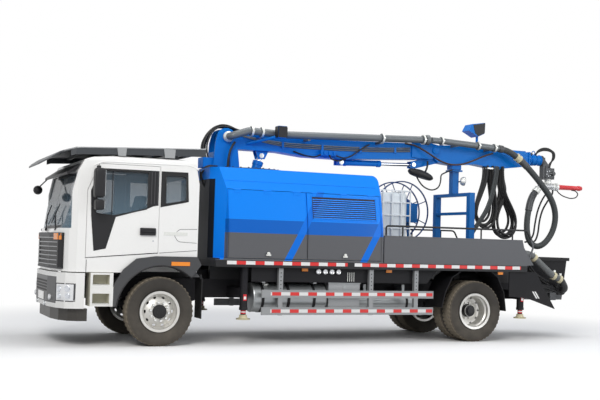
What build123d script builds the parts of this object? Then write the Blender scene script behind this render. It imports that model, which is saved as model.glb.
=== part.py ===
# A two-axle shotcrete truck: cab-over chassis, side-opening power enclosure, flat deck with tank and
# hose reel, rear concrete pump, four jacks and a slewing spraying boom folded back over the deck.
# Millimetres. +X points forward, +Y to the vehicle's left, +Z up. The ground is z = 0, and the origin
# lies on it under the middle of the whole machine. Distances along the truck are measured aft of the
# front axle, so aft(500) is half a metre behind it and aft(-500) half a metre ahead.
import math
import os

from build123d import *

os.makedirs("parts", exist_ok=True)

# Driving dimensions: chassis and wheels
wheelbase = 5670
body_half_width = 1225
tyre_diameter = 1055
tyre_width = 285
rim_diameter = 572
rim_flange = 313
front_wheel_y = 1015
outer_wheel_y = 1020
inner_wheel_y = 700
kingpin_y = 800
rail_y = 430
rail_width = 80
rail_height = 300
rail_top = 1010
rail_web = 10
rail_front = -1330
rail_end = 6900

# Driving dimensions: cab
cab_half_width = 1150
cab_front = -1560
cab_rear = 560
cab_base = 1115
cab_roof = 2865
cab_wall = 55
cab_floor = 1330
arch_radius = 700
arch_band = 130
arch_depth = 230
window_top = 2640
glass = 6
fit_gap = 6
fit = 0.3

# Driving dimensions: canopy over the cab
canopy_reach = 1800
canopy_rear = 660
canopy_half_width = 1120
canopy_height = 2997
canopy_nose = 2740
canopy_sheet = 25

# Driving dimensions: enclosure and deck
box_front = 840
box_rear = 3775
box_floor = 1345
box_top = 2810
box_sheet = 40
door_top = 2465
door_split = 2392
door_gap = 12
deck_top = 1345
deck_sheet = 35
deck_rear = 6640
side_panel_top = 1800
bed_depth = 115

# Driving dimensions: boom
slew_aft = 1680
drum_base = 2050
pivot_aft = 1330
pivot_z = 3380
fold_aft = 5400
fold_z = 3420
arm_rear = 7430
head_length = 590
nozzle_reach = 850
boom_width = 260
arm_width = 240
turret_cheek = 40
cheek_gap = 6
pipe_d = 125
pipe_y = 330
lamp_top = 4010

# Driving dimensions: jacks
jack_front = 1370
jack_back = 6660
jack_y = 1080
jack_tube = 110
jack_leg = 86
jack_foot = 400

boom_tip = arm_rear + head_length + nozzle_reach
front_axle_x = (boom_tip - canopy_reach) / 2
tyre_radius = tyre_diameter / 2
rail_bottom = rail_top - rail_height
bed_bottom = deck_top - bed_depth


def aft(distance):
    """The x of a place that distance behind the front axle."""
    return front_axle_x - distance


def block(x, y, z, mode=Mode.ADD):
    """A box between two values of each coordinate."""
    low = [min(pair) for pair in (x, y, z)]
    size = [abs(pair[1] - pair[0]) for pair in (x, y, z)]
    with Locations(tuple(low)):
        Box(*size, align=(Align.MIN, Align.MIN, Align.MIN), mode=mode)


def face_of(points, plane):
    with BuildSketch(plane) as outline:
        with BuildLine():
            Polyline(*points, close=True)
        make_face()
    return outline.sketch


def side_plate(points, y, mode=Mode.ADD):
    """An outline in X and Z, as thick as from y[0] up to y[1]."""
    extrude(face_of(points, Plane.XZ.offset(-max(y))), amount=abs(y[1] - y[0]), mode=mode)


def level_plate(points, z, mode=Mode.ADD):
    """An outline in X and Y, from z[0] up to z[1]."""
    extrude(face_of(points, Plane.XY.offset(min(z))), amount=abs(z[1] - z[0]), mode=mode)


def cross_plate(points, x, mode=Mode.ADD):
    """An outline in Y and Z, from x[0] to x[1]."""
    extrude(face_of(points, Plane.YZ.offset(min(x))), amount=abs(x[1] - x[0]), mode=mode)


def round_bar(plane, radius, length, bore=0, mode=Mode.ADD):
    """A bar or tube that starts on a plane and runs along its normal."""
    with BuildSketch(plane) as section:
        Circle(radius)
        if bore:
            Circle(bore, mode=Mode.SUBTRACT)
    extrude(section.sketch, amount=length, mode=mode)


def across(x, z, y=0):
    """A plane at a place, its normal along +Y."""
    return Plane(origin=(x, y, z), x_dir=(1, 0, 0), z_dir=(0, 1, 0))


def along(x, y, z):
    """A plane at a place, its normal along +X."""
    return Plane(origin=(x, y, z), x_dir=(0, 1, 0), z_dir=(1, 0, 0))


def upright(x, y, z):
    """A plane at a place, its normal along +Z."""
    return Plane(origin=(x, y, z), x_dir=(1, 0, 0), z_dir=(0, 0, 1))


def bend_radii(route):
    """The arc at each corner: 0.45 of the shorter run over the tangent of half the turn."""
    radii = []
    for before, corner, after in zip(route, route[1:], route[2:]):
        into = Vector(*corner) - Vector(*before)
        out = Vector(*after) - Vector(*corner)
        half_turn = math.radians(into.get_angle(out)) / 2
        radii.append(0.45 * min(into.length, out.length) / math.tan(half_turn))
    return radii


def bent_bar(route, radius, radii=None, bore=0):
    """A bar or pipe along straight runs joined by tangent arcs."""
    with BuildLine() as path:
        FilletPolyline(*route, radius=radii or bend_radii(route))
    start = Plane(origin=path.line @ 0, z_dir=path.line % 0)
    with BuildSketch(start) as section:
        Circle(radius)
        if bore:
            Circle(bore, mode=Mode.SUBTRACT)
    sweep(section.sketch, path=path.line)


def straight_bar(start, end, radius):
    run = Vector(*end) - Vector(*start)
    round_bar(Plane(origin=start, z_dir=run), radius, run.length)


def spun(outline, plane, centre):
    """An outline of radius and width, turned about the wheel's axis, which lies along Y."""
    revolve(face_of(outline, plane), axis=Axis(centre, (0, 1, 0)))


def finish(part, name):
    part.part.label = name
    export_step(part.part, f"parts/{name}.step")


sides = {"left": 1, "right": -1}

# Tyres and rims. Each outline is in columns of radius and distance outwards from the tyre's middle.
half_tyre = tyre_width / 2
bead = rim_diameter / 2
tyre_outline = [
    (bead + 0.3, -0.33 * tyre_width),
    (rim_flange + 5, -0.34 * tyre_width),
    (0.70 * tyre_radius, -0.46 * tyre_width),
    (0.80 * tyre_radius, -half_tyre),
    (tyre_radius - 45, -0.47 * tyre_width),
    (tyre_radius - 8, -0.40 * tyre_width),
    (tyre_radius, -0.34 * tyre_width),
    (tyre_radius, 0.34 * tyre_width),
    (tyre_radius - 8, 0.40 * tyre_width),
    (tyre_radius - 45, 0.47 * tyre_width),
    (0.80 * tyre_radius, half_tyre),
    (0.70 * tyre_radius, 0.46 * tyre_width),
    (rim_flange + 5, 0.34 * tyre_width),
    (bead + 0.3, 0.33 * tyre_width),
]
rim_sheet = 12


def barrel_outline(out):
    """The drop-centre barrel with its two flanges, out is the middle of the tyre."""
    edge = 0.36 * tyre_width - 1
    return [
        (rim_flange, out - edge - 16),
        (rim_flange, out - edge - 4),
        (bead, out - edge),
        (bead, out - 50),
        (bead - 22, out - 30),
        (bead - 22, out + 30),
        (bead, out + 50),
        (bead, out + edge),
        (rim_flange, out + edge + 4),
        (rim_flange, out + edge + 16),
        (bead - rim_sheet, out + edge + 10),
        (bead - rim_sheet, out + 55),
        (bead - 22 - rim_sheet, out + 32),
        (bead - 22 - rim_sheet, out - 32),
        (bead - rim_sheet, out - 55),
        (bead - rim_sheet, out - edge - 10),
    ]


def wheel_plane(centre, side):
    return Plane(origin=centre, x_dir=(1, 0, 0), z_dir=(0, 0, side))


def ring_of_studs(centre, side, radius, count, stud, face, height):
    """Nuts round a hub, standing on the face that lies that far out from the wheel's middle."""
    base = Plane(origin=(centre[0], centre[1] + side * face, centre[2]), x_dir=(1, 0, 0), z_dir=(0, side, 0))
    with BuildSketch(base) as nuts:
        with PolarLocations(radius, count):
            RegularPolygon(stud, 6)
    extrude(nuts.sketch, amount=height)


def hand_holes(centre, side, radius, count, size, depth):
    base = Plane(origin=(centre[0], centre[1] - side * depth, centre[2]), x_dir=(1, 0, 0), z_dir=(0, side, 0))
    with BuildSketch(base) as holes:
        with PolarLocations(radius, count):
            Ellipse(size * 0.6, size)
    extrude(holes.sketch, amount=2 * depth, mode=Mode.SUBTRACT)


# Front wheels: a disc that bulges outwards, with hand holes, nuts and a hub cap.
front_disc = [
    (0, 92), (70, 92), (78, 84), (120, 76), (150, 66), (205, 40), (bead - 40, 22),
    (bead - 34, 22), (bead - 34, 10), (205, 28), (150, 54), (120, 64), (0, 64),
]
for side_name, side in sides.items():
    hub = (front_axle_x, side * front_wheel_y, tyre_radius)
    with BuildPart() as front_tyre:
        spun(tyre_outline, wheel_plane(hub, side), hub)
    finish(front_tyre, f"front_tyre_{side_name}")
    with BuildPart() as front_rim:
        spun(barrel_outline(0), wheel_plane(hub, side), hub)
        spun(front_disc, wheel_plane(hub, side), hub)
        hand_holes(hub, side, 215, 10, 26, 120)
        ring_of_studs(hub, side, 142, 10, 17, 68, 26)
        round_bar(Plane(origin=hub, z_dir=(0, side, 0)), 62, 128)
    finish(front_rim, f"front_rim_{side_name}")

# Rear wheels: two tyres on rims whose discs meet between them, so the outer one is deeply dished.
dual_middle = (outer_wheel_y + inner_wheel_y) / 2
dual_half = (outer_wheel_y - inner_wheel_y) / 2
rear_disc = [
    (0, 14), (150, 14), (200, 14), (238, 34), (250, dual_half - 20), (bead - 34, dual_half - 20),
    (bead - 34, dual_half - 34), (262, dual_half - 34), (250, 26), (212, 0), (0, 0),
]
rear_axle_x = aft(wheelbase)
for side_name, side in sides.items():
    middle = (rear_axle_x, side * dual_middle, tyre_radius)
    with BuildPart() as rear_tyres:
        for offset in (-dual_half, dual_half):
            spun([(r, w + offset) for r, w in tyre_outline], wheel_plane(middle, side), middle)
    finish(rear_tyres, f"rear_tyres_{side_name}")
    with BuildPart() as rear_rims:
        for offset in (-dual_half, dual_half):
            spun(barrel_outline(offset), wheel_plane(middle, side), middle)
        spun(rear_disc, wheel_plane(middle, side), middle)
        spun([(r, -w) for r, w in rear_disc], wheel_plane(middle, side), middle)
        hand_holes(middle, side, 225, 10, 20, 60)
        ring_of_studs(middle, side, 142, 10, 17, 13, 30)
        round_bar(Plane(origin=middle, z_dir=(0, side, 0)), 105, 120)
        round_bar(Plane(origin=middle, z_dir=(0, side, 0)), 60, 150)
    finish(rear_rims, f"rear_rims_{side_name}")

# Ladder frame: two channels, cross-members, the four jack housings and the two rear hangers.
frame_members = [-1250, -850, 1700, 3000, 4300, 5150, 6200, 6830]
with BuildPart() as chassis_frame:
    for side in sides.values():
        outer = side * (rail_y + rail_width / 2)
        inner = side * (rail_y - rail_width / 2)
        block((aft(rail_end), aft(rail_front)), (outer, inner), (rail_bottom, rail_top))
        block(
            (aft(rail_end + 5), aft(rail_front - 5)),
            (inner - side, outer - side * rail_web),
            (rail_bottom + rail_web, rail_top - rail_web),
            mode=Mode.SUBTRACT,
        )
    for place in frame_members:
        block((aft(place + 40), aft(place - 40)), (-rail_y - 32, rail_y + 32), (rail_bottom + 60, rail_top - 30))
    for place in (jack_front, jack_back):
        block(
            (aft(place + 75), aft(place - 75)),
            (-jack_y + jack_tube / 2 - 5, jack_y - jack_tube / 2 + 5),
            (rail_bottom + 30, rail_bottom + 180),
        )
        for side in sides.values():
            seat = upright(aft(place), side * jack_y, jack_foot + 150)
            round_bar(seat, jack_tube / 2 + 8, bed_bottom - fit - jack_foot - 150, bore=jack_leg / 2 + fit)
        for place in (-1180, 440):
            block(
                (aft(place + 50), aft(place - 50)), (side * (rail_y - 30), side * (rail_y + 30)),
                (rail_top - 5, cab_base - fit),
            )
finish(chassis_frame, "chassis_frame")

# Jacks: a leg that slides in its housing, on a round foot.
for end_name, place in {"front": jack_front, "rear": jack_back}.items():
    for side_name, side in sides.items():
        with BuildPart() as jack:
            round_bar(upright(aft(place), side * jack_y, jack_foot + 10), jack_leg / 2, 800)
            round_bar(upright(aft(place), side * jack_y, jack_foot), 110, 18)
            round_bar(upright(aft(place), side * jack_y, jack_foot + 10), 60, 60)
        finish(jack, f"jack_{end_name}_{side_name}")

# Front axle: a dropped beam with its two leaf springs, and a kingpin boss at each end.
spring_half = 780
beam_z = tyre_radius - 120
with BuildPart() as front_axle:
    block((aft(60), aft(-60)), (-560, 560), (beam_z - 60, beam_z + 60))
    for side in sides.values():
        low, high = tyre_radius - 55, tyre_radius + 55
        cross_plate(
            [
                (side * 540, beam_z - 60), (side * 620, beam_z - 60), (side * (kingpin_y - 62), low),
                (side * (kingpin_y - 20), low), (side * (kingpin_y - 20), high),
                (side * (kingpin_y - 80), high), (side * 600, beam_z + 60), (side * 540, beam_z + 60),
            ],
            (aft(50), aft(-50)),
        )
        round_bar(upright(aft(0), side * kingpin_y, tyre_radius - 60 + fit), 46, 120 - 2 * fit)
        side_plate(
            [
                (aft(-spring_half), rail_bottom - fit), (aft(-spring_half), rail_bottom - 38),
                (aft(-300), beam_z + 100), (aft(-90), beam_z + 58), (aft(90), beam_z + 58),
                (aft(300), beam_z + 100), (aft(spring_half), rail_bottom - 38),
                (aft(spring_half), rail_bottom - fit), (aft(spring_half - 60), rail_bottom - fit),
                (aft(300), 600), (aft(-300), 600), (aft(60 - spring_half), rail_bottom - fit),
            ],
            (side * (rail_y - 40), side * (rail_y + 40)),
        )
finish(front_axle, "front_axle")

# Knuckles turn on the kingpins and carry the front hubs.
for side_name, side in sides.items():
    with BuildPart() as knuckle:
        for level in (tyre_radius - 96, tyre_radius + 60):
            round_bar(upright(aft(0), side * kingpin_y, level), 46, 36)
        block(
            (aft(60), aft(-60)),
            (side * (kingpin_y + 50), side * (kingpin_y + 92)),
            (tyre_radius - 96, tyre_radius + 96),
        )
        for level in (tyre_radius - 96, tyre_radius + 60):
            block((aft(40), aft(-40)), (side * kingpin_y, side * (kingpin_y + 60)), (level, level + 36))
        hub_start = Plane(origin=(aft(0), side * (kingpin_y + 80), tyre_radius), z_dir=(0, side, 0))
        round_bar(hub_start, 150, 40)
        round_bar(hub_start, 110, front_wheel_y - kingpin_y - 80 - fit)
    finish(knuckle, f"knuckle_{side_name}")

# Rear axle: a banjo housing with its differential, hub ends and two spring packs.
with BuildPart() as rear_axle:
    hub_inner = dual_middle - 14 - fit
    round_bar(Plane(origin=(rear_axle_x, -hub_inner, tyre_radius), z_dir=(0, 1, 0)), 75, 2 * hub_inner)
    with Locations((rear_axle_x, 0, tyre_radius)):
        Sphere(210)
    straight_bar((rear_axle_x + 150, 0, tyre_radius), (rear_axle_x + 420, 0, tyre_radius + 30), 90)
    for side in sides.values():
        side_plate(
            [
                (rear_axle_x - 820, rail_bottom - fit), (rear_axle_x - 820, rail_bottom - 45),
                (rear_axle_x - 90, tyre_radius + 60), (rear_axle_x + 90, tyre_radius + 60),
                (rear_axle_x + 820, rail_bottom - 45), (rear_axle_x + 820, rail_bottom - fit),
                (rear_axle_x + 740, rail_bottom - fit), (rear_axle_x + 300, 680),
                (rear_axle_x - 300, 680), (rear_axle_x - 740, rail_bottom - fit),
            ],
            (side * (rail_y - 45), side * (rail_y + 45)),
        )
finish(rear_axle, "rear_axle")

# Heavy masses that are closed in, as plain blocks: the engine with its gearbox under the cab, and the
# hydraulic power pack in the enclosure.
with BuildPart() as engine_and_power_pack:
    block((aft(420), aft(-760)), (-330, 330), (740, 1290))
    block((aft(1150), aft(415)), (-220, 220), (740, 1150))
    for place in (-500, 1000):
        mount_y = rail_y - 40 - fit
        block((aft(place + 30), aft(place - 30)), (-mount_y, mount_y), (rail_top - 70, rail_top + 2))
    block((aft(3600), aft(2420)), (-700, 700), (box_floor + 20 + fit, 2250))
finish(engine_and_power_pack, "engine_and_power_pack")


# Cab: one curved outline in plan, cut to its side outline, then hollowed.
def cab_outline_plan(inset):
    """Columns are distance aft of the axle and distance to the side."""
    half = cab_half_width - inset
    nose = cab_front + inset
    return [
        (cab_rear - inset, half), (-1130, half), (-1290, half - 25), (-1400, half - 95), (nose + 60, half - 280),
        (nose, half - 700), (nose, -(half - 700)), (nose + 60, -(half - 280)), (-1400, -(half - 95)),
        (-1290, -(half - 25)), (-1130, -half), (cab_rear - inset, -half),
    ]


def cab_outline_side(inset):
    """Columns are distance aft of the axle and height."""
    base = cab_floor if inset > fit else cab_base
    return [
        (cab_front + inset, base), (cab_front + inset, 1690), (cab_front + 70 + inset, 1790),
        (-1310 + inset, 2620), (-1220 + inset, 2790 - inset), (-1080 + inset, cab_roof - 25 - inset),
        (-800, cab_roof - inset), (300 - inset, cab_roof - inset),
        (cab_rear - 60 - inset, cab_roof - 60 - inset), (cab_rear - inset, 2500), (cab_rear - inset, base),
    ]


def cab_body(inset, mode=Mode.ADD):
    """The cab's whole volume, inset by a wall, as one solid to add or take away."""
    with BuildPart(mode=Mode.PRIVATE) as volume:
        plan = face_of([(aft(a), b) for a, b in cab_outline_plan(inset)], Plane.XY.offset(cab_base - 10))
        extrude(plan, amount=cab_roof - cab_base + 20)
        side = face_of(
            [(aft(a), b) for a, b in cab_outline_side(inset)], Plane.XZ.offset(-cab_half_width - 10)
        )
        extrude(side, amount=2 * cab_half_width + 20, mode=Mode.INTERSECT)
        if inset == 0:
            roof_edges = volume.edges().filter_by(Axis.X).group_by(Axis.Z)[-1]
            fillet(roof_edges, 70)
    add(volume.part, mode=mode)


door_front = -1165
door_back = -71
door_sill_gap = 8
door_opening = [
    (door_front, 1326), (door_back, 1418), (door_back, 2735), (-1000, 2735), (door_front, 2330),
]
door_outline = [
    (door_front, 1326 + door_sill_gap), (door_back, 1418 + door_sill_gap), *door_opening[2:],
]
door_window = [
    (-1040, 1990), (-762, 1964), (-500, 2025), (-250, 2088), (-250, window_top), (-935, window_top),
    (-1040, 2400),
]
quarter_window = [(20, 2170), (330, 2228), (359, 2260), (352, 2570), (320, 2610), (20, 2610)]
windscreen_base = 1760
windscreen_head = 2600
windscreen_half = 1070


def grown(points, by):
    """The same outline moved outwards by a margin, about its middle."""
    middle_a = sum(a for a, b in points) / len(points)
    middle_b = sum(b for a, b in points) / len(points)
    return [
        (a + by * math.copysign(1, a - middle_a), b + by * math.copysign(1, b - middle_b)) for a, b in points
    ]


def placed(points):
    return [(aft(a), b) for a, b in points]


skin_out = cab_half_width + 20
skin_in = cab_half_width - cab_wall
with BuildPart() as cab_shell:
    cab_body(0)
    cab_body(cab_wall, mode=Mode.SUBTRACT)
    for side in sides.values():
        skin = (side * (skin_in - 30), side * skin_out)
        side_plate(placed(grown(door_opening, fit_gap)), skin, mode=Mode.SUBTRACT)
        side_plate(placed(quarter_window), skin, mode=Mode.SUBTRACT)
        wheel_space = across(aft(0), tyre_radius, side * (cab_half_width + 20))
        round_bar(
            Plane(origin=wheel_space.origin, z_dir=(0, -side, 0)),
            arch_radius + arch_band - 5, 640, mode=Mode.SUBTRACT,
        )
    block(
        (aft(cab_front - 20), aft(-1200)), (-windscreen_half, windscreen_half),
        (windscreen_base, windscreen_head), mode=Mode.SUBTRACT,
    )
    block((aft(cab_rear - 80), aft(cab_rear + 20)), (-700, 700), (2050, 2600), mode=Mode.SUBTRACT)
    block((aft(cab_rear + 20), aft(-800)), (-370, 370), (cab_base - 20, 1300), mode=Mode.SUBTRACT)
finish(cab_shell, "cab_shell")

# Doors take the same curved skin as the cab, less a gap all round, and a window.
for side_name, side in sides.items():
    with BuildPart() as cab_door:
        cab_body(0)
        cab_body(cab_wall, mode=Mode.SUBTRACT)
        side_plate(placed(door_outline), (side * (skin_in - 25), side * skin_out), mode=Mode.INTERSECT)
        side_plate(placed(door_window), (side * (skin_in - 40), side * skin_out), mode=Mode.SUBTRACT)
        block(
            (aft(-350), aft(-125)), (side * (cab_half_width - 10), side * (cab_half_width + 28)), (1690, 1790)
        )
    finish(cab_door, f"cab_door_{side_name}")
    with BuildPart() as door_glass:
        level = side * (cab_half_width - cab_wall / 2)
        side_plate(placed(grown(door_window, -fit)), (level - glass / 2, level + glass / 2))
    finish(door_glass, f"door_glass_{side_name}")

# The windscreen follows the nose's curve; the quarter lights and the rear window are flat.
with BuildPart() as cab_glass:
    cab_body(cab_wall / 2)
    cab_body(cab_wall / 2 + glass, mode=Mode.SUBTRACT)
    block(
        (aft(cab_front - 20), aft(-1200)), (fit - windscreen_half, windscreen_half - fit),
        (windscreen_base + fit, windscreen_head - fit), mode=Mode.INTERSECT,
    )
    for side in sides.values():
        level = side * (cab_half_width - cab_wall / 2)
        side_plate(placed(grown(quarter_window, -fit)), (level - glass / 2, level + glass / 2))
    block((aft(cab_rear - 30), aft(cab_rear - 24)), (fit - 700, 700 - fit), (2050 + fit, 2600 - fit))
finish(cab_glass, "cab_glass")

# Inside: dashboard with column and steering wheel, and two seats.
with BuildPart() as cab_interior:
    side_plate(
        placed([(-1490, cab_floor), (-1490, 1640), (-1300, 1700), (-1180, 1640), (-1280, cab_floor)]),
        (-cab_half_width, cab_half_width),
    )
    cab_body(cab_wall + fit, mode=Mode.INTERSECT)
    straight_bar((aft(-1230), 520, 1560), (aft(-1010), 520, 1790), 30)
    wheel_axis = Vector(aft(-1010), 0, 1790) - Vector(aft(-1230), 0, 1560)
    with BuildSketch(Plane(origin=(aft(-1010), 520, 1790), z_dir=wheel_axis)) as steering:
        Circle(225)
        Circle(195, mode=Mode.SUBTRACT)
        Rectangle(420, 36)
    extrude(steering.sketch, amount=24)
    for seat_y in (520, -520):
        block((aft(-560), aft(-60)), (seat_y - 250, seat_y + 250), (cab_floor + fit, 1600))
        side_plate(
            placed([(-160, 1580), (-60, 1580), (110, 2330), (20, 2350)]), (seat_y - 240, seat_y + 240)
        )
finish(cab_interior, "cab_interior")

grille_half = 960

# On the nose: the slatted grille panel, the sun visor and the round mirror on its arm.
with BuildPart() as nose_trim:
    cab_body(-30)
    cab_body(-fit, mode=Mode.SUBTRACT)
    block(
        (aft(cab_front - 40), aft(-1400)), (-grille_half, grille_half), (1150, 1690), mode=Mode.INTERSECT
    )
    for slat in range(6):
        height = 1215 + slat * 68
        block((aft(cab_front - 40), aft(cab_front - 20)), (-395, 395), (height, height + 40), mode=Mode.SUBTRACT)
    visor = [(-1273.2, 2690.3), (-1440, 2560), (-1456, 2566), (-1450, 2600), (-1246.7, 2740.3)]
    side_plate(placed(visor), (-1000, 1000))
    straight_bar((aft(-1440), -880, 2570), (aft(-1560), -905, 2440), 10)
    with Locations((aft(-1580), -905, 2390)):
        Sphere(75)
finish(nose_trim, "nose_trim")

# Bumper: wrapped round the nose, with lamp pockets and a lower air dam.
bumper_plan = [
    (-1170, 1185), (-1310, 1170), (-1440, 1100), (-1540, 900), (-1600, 500), (-1600, -500), (-1540, -900),
    (-1440, -1100), (-1310, -1170), (-1170, -1185), (-1170, -1090), (-1290, -1080), (-1400, -1000),
    (-1450, -850), (-1500, -480), (-1500, 480), (-1450, 850), (-1400, 1000), (-1290, 1080), (-1170, 1090),
]
with BuildPart() as bumper:
    level_plate(placed(bumper_plan), (575, 1100))
    level_plate(placed([(a + 60, b * 0.96) for a, b in bumper_plan]), (390, 576))
    block((aft(-1520), aft(rail_front - fit)), (-rail_y - 40, rail_y + 40), (760, 940))
finish(bumper, "bumper")

# Wheel-arch flares and the entry steps ahead of them.
with BuildPart() as arches_and_steps:
    for side in sides.values():
        skin = cab_half_width + fit
        side_plate(
            placed([(-800, 610), (-790, 800), (-720, 960), (-600, 1160), (-400, 1330), (-100, 1372),
                    (cab_rear - 8, 1372), (cab_rear + 60, 1250), (470, 1060), (0, 1060), (-400, 610)]),
            (side * skin, side * (skin + 50)),
        )
        liner = Plane(origin=(aft(0), side * (skin + 1), tyre_radius), z_dir=(0, -side, 0))
        round_bar(liner, arch_radius + arch_band - 14, arch_depth)
        hollow = Plane(origin=(aft(0), side * (skin + 60), tyre_radius), z_dir=(0, -side, 0))
        round_bar(hollow, arch_radius, arch_depth + 80, mode=Mode.SUBTRACT)
        block((aft(-900), aft(0)), (side * 800, side * (skin + 60)), (-400, 610), mode=Mode.SUBTRACT)
        block((aft(900), aft(0)), (side * 800, side * (skin + 60)), (-400, 1060), mode=Mode.SUBTRACT)
        side_plate(
            placed([(-1085, 610), (-1085, cab_base - 8), (-745, cab_base - 8), (-745, 610)]),
            (side * 860, side * (cab_half_width + 35)),
        )
        block((aft(-1085), aft(-800)), (side * 860, side * 1055), (cab_base - 15, cab_base - fit))
        for tread in (650, 930):
            block(
                (aft(-1050), aft(-800)), (side * 980, side * (cab_half_width + 60)), (tread, tread + 150),
                mode=Mode.SUBTRACT,
            )
finish(arches_and_steps, "arches_and_steps")

# Mirrors: a main and a wide-angle glass on a tube that two arms hold to the door's front pillar.
mirror_out = 1440
tube_y = 1235
for side_name, side in sides.items():
    with BuildPart() as mirror:
        block((aft(-1115), aft(-965)), (side * 1255, side * mirror_out), (2216, 2655))
        block((aft(-1095), aft(-965)), (side * 1265, side * mirror_out), (2035, 2190))
        round_bar(upright(aft(-1050), side * tube_y, 2030), 14, 660)
        for level in (2100, 2300, 2600):
            block((aft(-1066), aft(-1034)), (side * tube_y, side * 1280), (level - 16, level + 16))
        for level in (2070, 2675):
            straight_bar((aft(-1050), side * tube_y, level), (aft(-1010), side * (cab_half_width + 7), level), 12)
            block(
                (aft(-1040), aft(-985)), (side * (cab_half_width + fit), side * (cab_half_width + 8)),
                (level - 30, level + 30),
            )
    finish(mirror, f"mirror_{side_name}")

# Canopy: a sheet over the roof whose front is bent down and tapers to its nose, on four brackets.
canopy_line = [
    (canopy_rear, canopy_height + 47), (-700, canopy_height), (-1354, canopy_height - 32),
    (-1575, canopy_height - 102), (-canopy_reach, canopy_nose),
]
canopy_rim = 110
with BuildPart() as roof_canopy:
    for rim_y, deep in ((0, canopy_sheet), (canopy_half_width - 22, canopy_rim)):
        below = [(a, z - deep) for a, z in reversed(canopy_line)]
        for side in sides.values():
            side_plate(placed(canopy_line + below), (side * rim_y, side * canopy_half_width))
    level_plate(
        placed([
            (canopy_rear, canopy_half_width), (-1350, canopy_half_width), (-1690, canopy_half_width - 100),
            (-canopy_reach, 480), (-canopy_reach, -480), (-1690, 100 - canopy_half_width),
            (-1350, -canopy_half_width), (canopy_rear, -canopy_half_width),
        ]),
        (canopy_nose - 200, canopy_height + 200), mode=Mode.INTERSECT,
    )
    for place in (-610, 155):
        for side in sides.values():
            block(
                (aft(place + 80), aft(place - 80)), (side * 1010, side * 1040),
                (cab_roof - 60, canopy_height - 10),
            )
    cab_body(-fit, mode=Mode.SUBTRACT)
finish(roof_canopy, "roof_canopy")

# Fuel tank on the left, air tanks on the right, both on brackets that reach the frame.
tank_y = 850
with BuildPart() as chassis_tanks:
    round_bar(along(aft(2800), tank_y, 740), 235, 1230)
    for place in (1700, 2600):
        round_bar(along(aft(place + 25), tank_y, 740), 242, 50)
        block((aft(place + 25), aft(place - 25)), (rail_y + 40 + fit, tank_y - 100), (760, 960))
    round_bar(along(aft(4650), 730, 660), 150, 1150)
    round_bar(along(aft(4650), -800, 660), 190, 1500)
    for place in (3700, 4450):
        block((aft(place + 25), aft(place - 25)), (rail_y + 40 + fit, 730), (760, 960))
        block((aft(place + 25), aft(place - 25)), (-rail_y - 40 - fit, -800), (760, 960))
finish(chassis_tanks, "chassis_tanks")

# Deck: bed with side rails, a floor, and aft of the enclosure upright side panels, each with a tube rail
# along its top and down to the deck's rear corner.
panel_front = box_rear + 20
with BuildPart() as deck:
    block((aft(deck_rear + 60), aft(box_front)), (-body_half_width, body_half_width), (bed_bottom, deck_top))
    for start, end in ((box_front + 60, 2200), (2260, 4200), (4260, 5100), (6260, deck_rear)):
        for side in sides.values():
            block(
                (aft(end), aft(start)), (side * 60, side * (body_half_width - 60)),
                (bed_bottom - 1, deck_top - 12), mode=Mode.SUBTRACT,
            )
    for side in sides.values():
        side_plate(
            placed([
                (panel_front, deck_top - 1), (panel_front, side_panel_top), (deck_rear - 50, side_panel_top),
                (deck_rear - 15, 1664), (deck_rear + 195, deck_top + 10), (deck_rear + 50, deck_top - 1),
            ]),
            (side * body_half_width, side * (body_half_width - deck_sheet)),
        )
        for place in (4250, 5550, 6300):
            block(
                (aft(place + 25), aft(place - 25)),
                (side * (body_half_width - deck_sheet), side * (body_half_width - 110)),
                (deck_top - 1, side_panel_top - 20),
            )
        block((aft(4900), aft(1000)), (side * rail_y - 40, side * rail_y + 40), (rail_top + fit, bed_bottom + 5))
        block((aft(6880), aft(6300)), (side * rail_y - 40, side * rail_y + 40), (rail_top + fit, bed_bottom + 5))
        rail_line = side * (body_half_width - 18)
        bent_bar(
            [(aft(panel_front + 40), rail_line, side_panel_top - 10), (aft(panel_front + 40), rail_line, 1965),
             (aft(6690), rail_line, 1972), (aft(6838), rail_line, 1690), (aft(6745), rail_line, 1440)],
            16, radii=[40, 100, 100],
        )
        for place in (4150, 5720, 6380):
            round_bar(upright(aft(place), rail_line, side_panel_top - 10), 14, 180)
finish(deck, "deck")

# Enclosure. Its section narrows upwards; columns are half width and height.
box_section = [(1225, box_floor), (1225, 1770), (1200, 1985), (1100, door_top), (950, box_top)]
corner_cut = 190


def box_volume(inset, mode=Mode.ADD):
    """The enclosure's whole volume, inset by its sheet."""
    half = [(w - inset, z - (inset if z == box_top else 0)) for w, z in box_section]
    with BuildPart(mode=Mode.PRIVATE) as volume:
        outline = half + [(-w, z) for w, z in reversed(half)]
        rear = aft(box_rear - inset)
        front = aft(box_front + inset)
        extrude(face_of(outline, Plane.YZ.offset(rear)), amount=front - rear)
        top_rear = volume.edges().filter_by(Axis.Y).group_by(Axis.Z)[-1].sort_by(Axis.X)[0]
        fillet(top_rear, 110 - inset)
        level_plate(
            [
                (rear - 5, 1300), (front - corner_cut, 1300), (front - corner_cut, 1110 - inset),
                (front, 780 - inset), (front, -780 + inset), (front - corner_cut, -1110 + inset),
                (front - corner_cut, -1300), (rear - 5, -1300),
            ],
            (box_floor - 10, box_top + 10),
            mode=Mode.INTERSECT,
        )
    add(volume.part, mode=mode)


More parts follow.
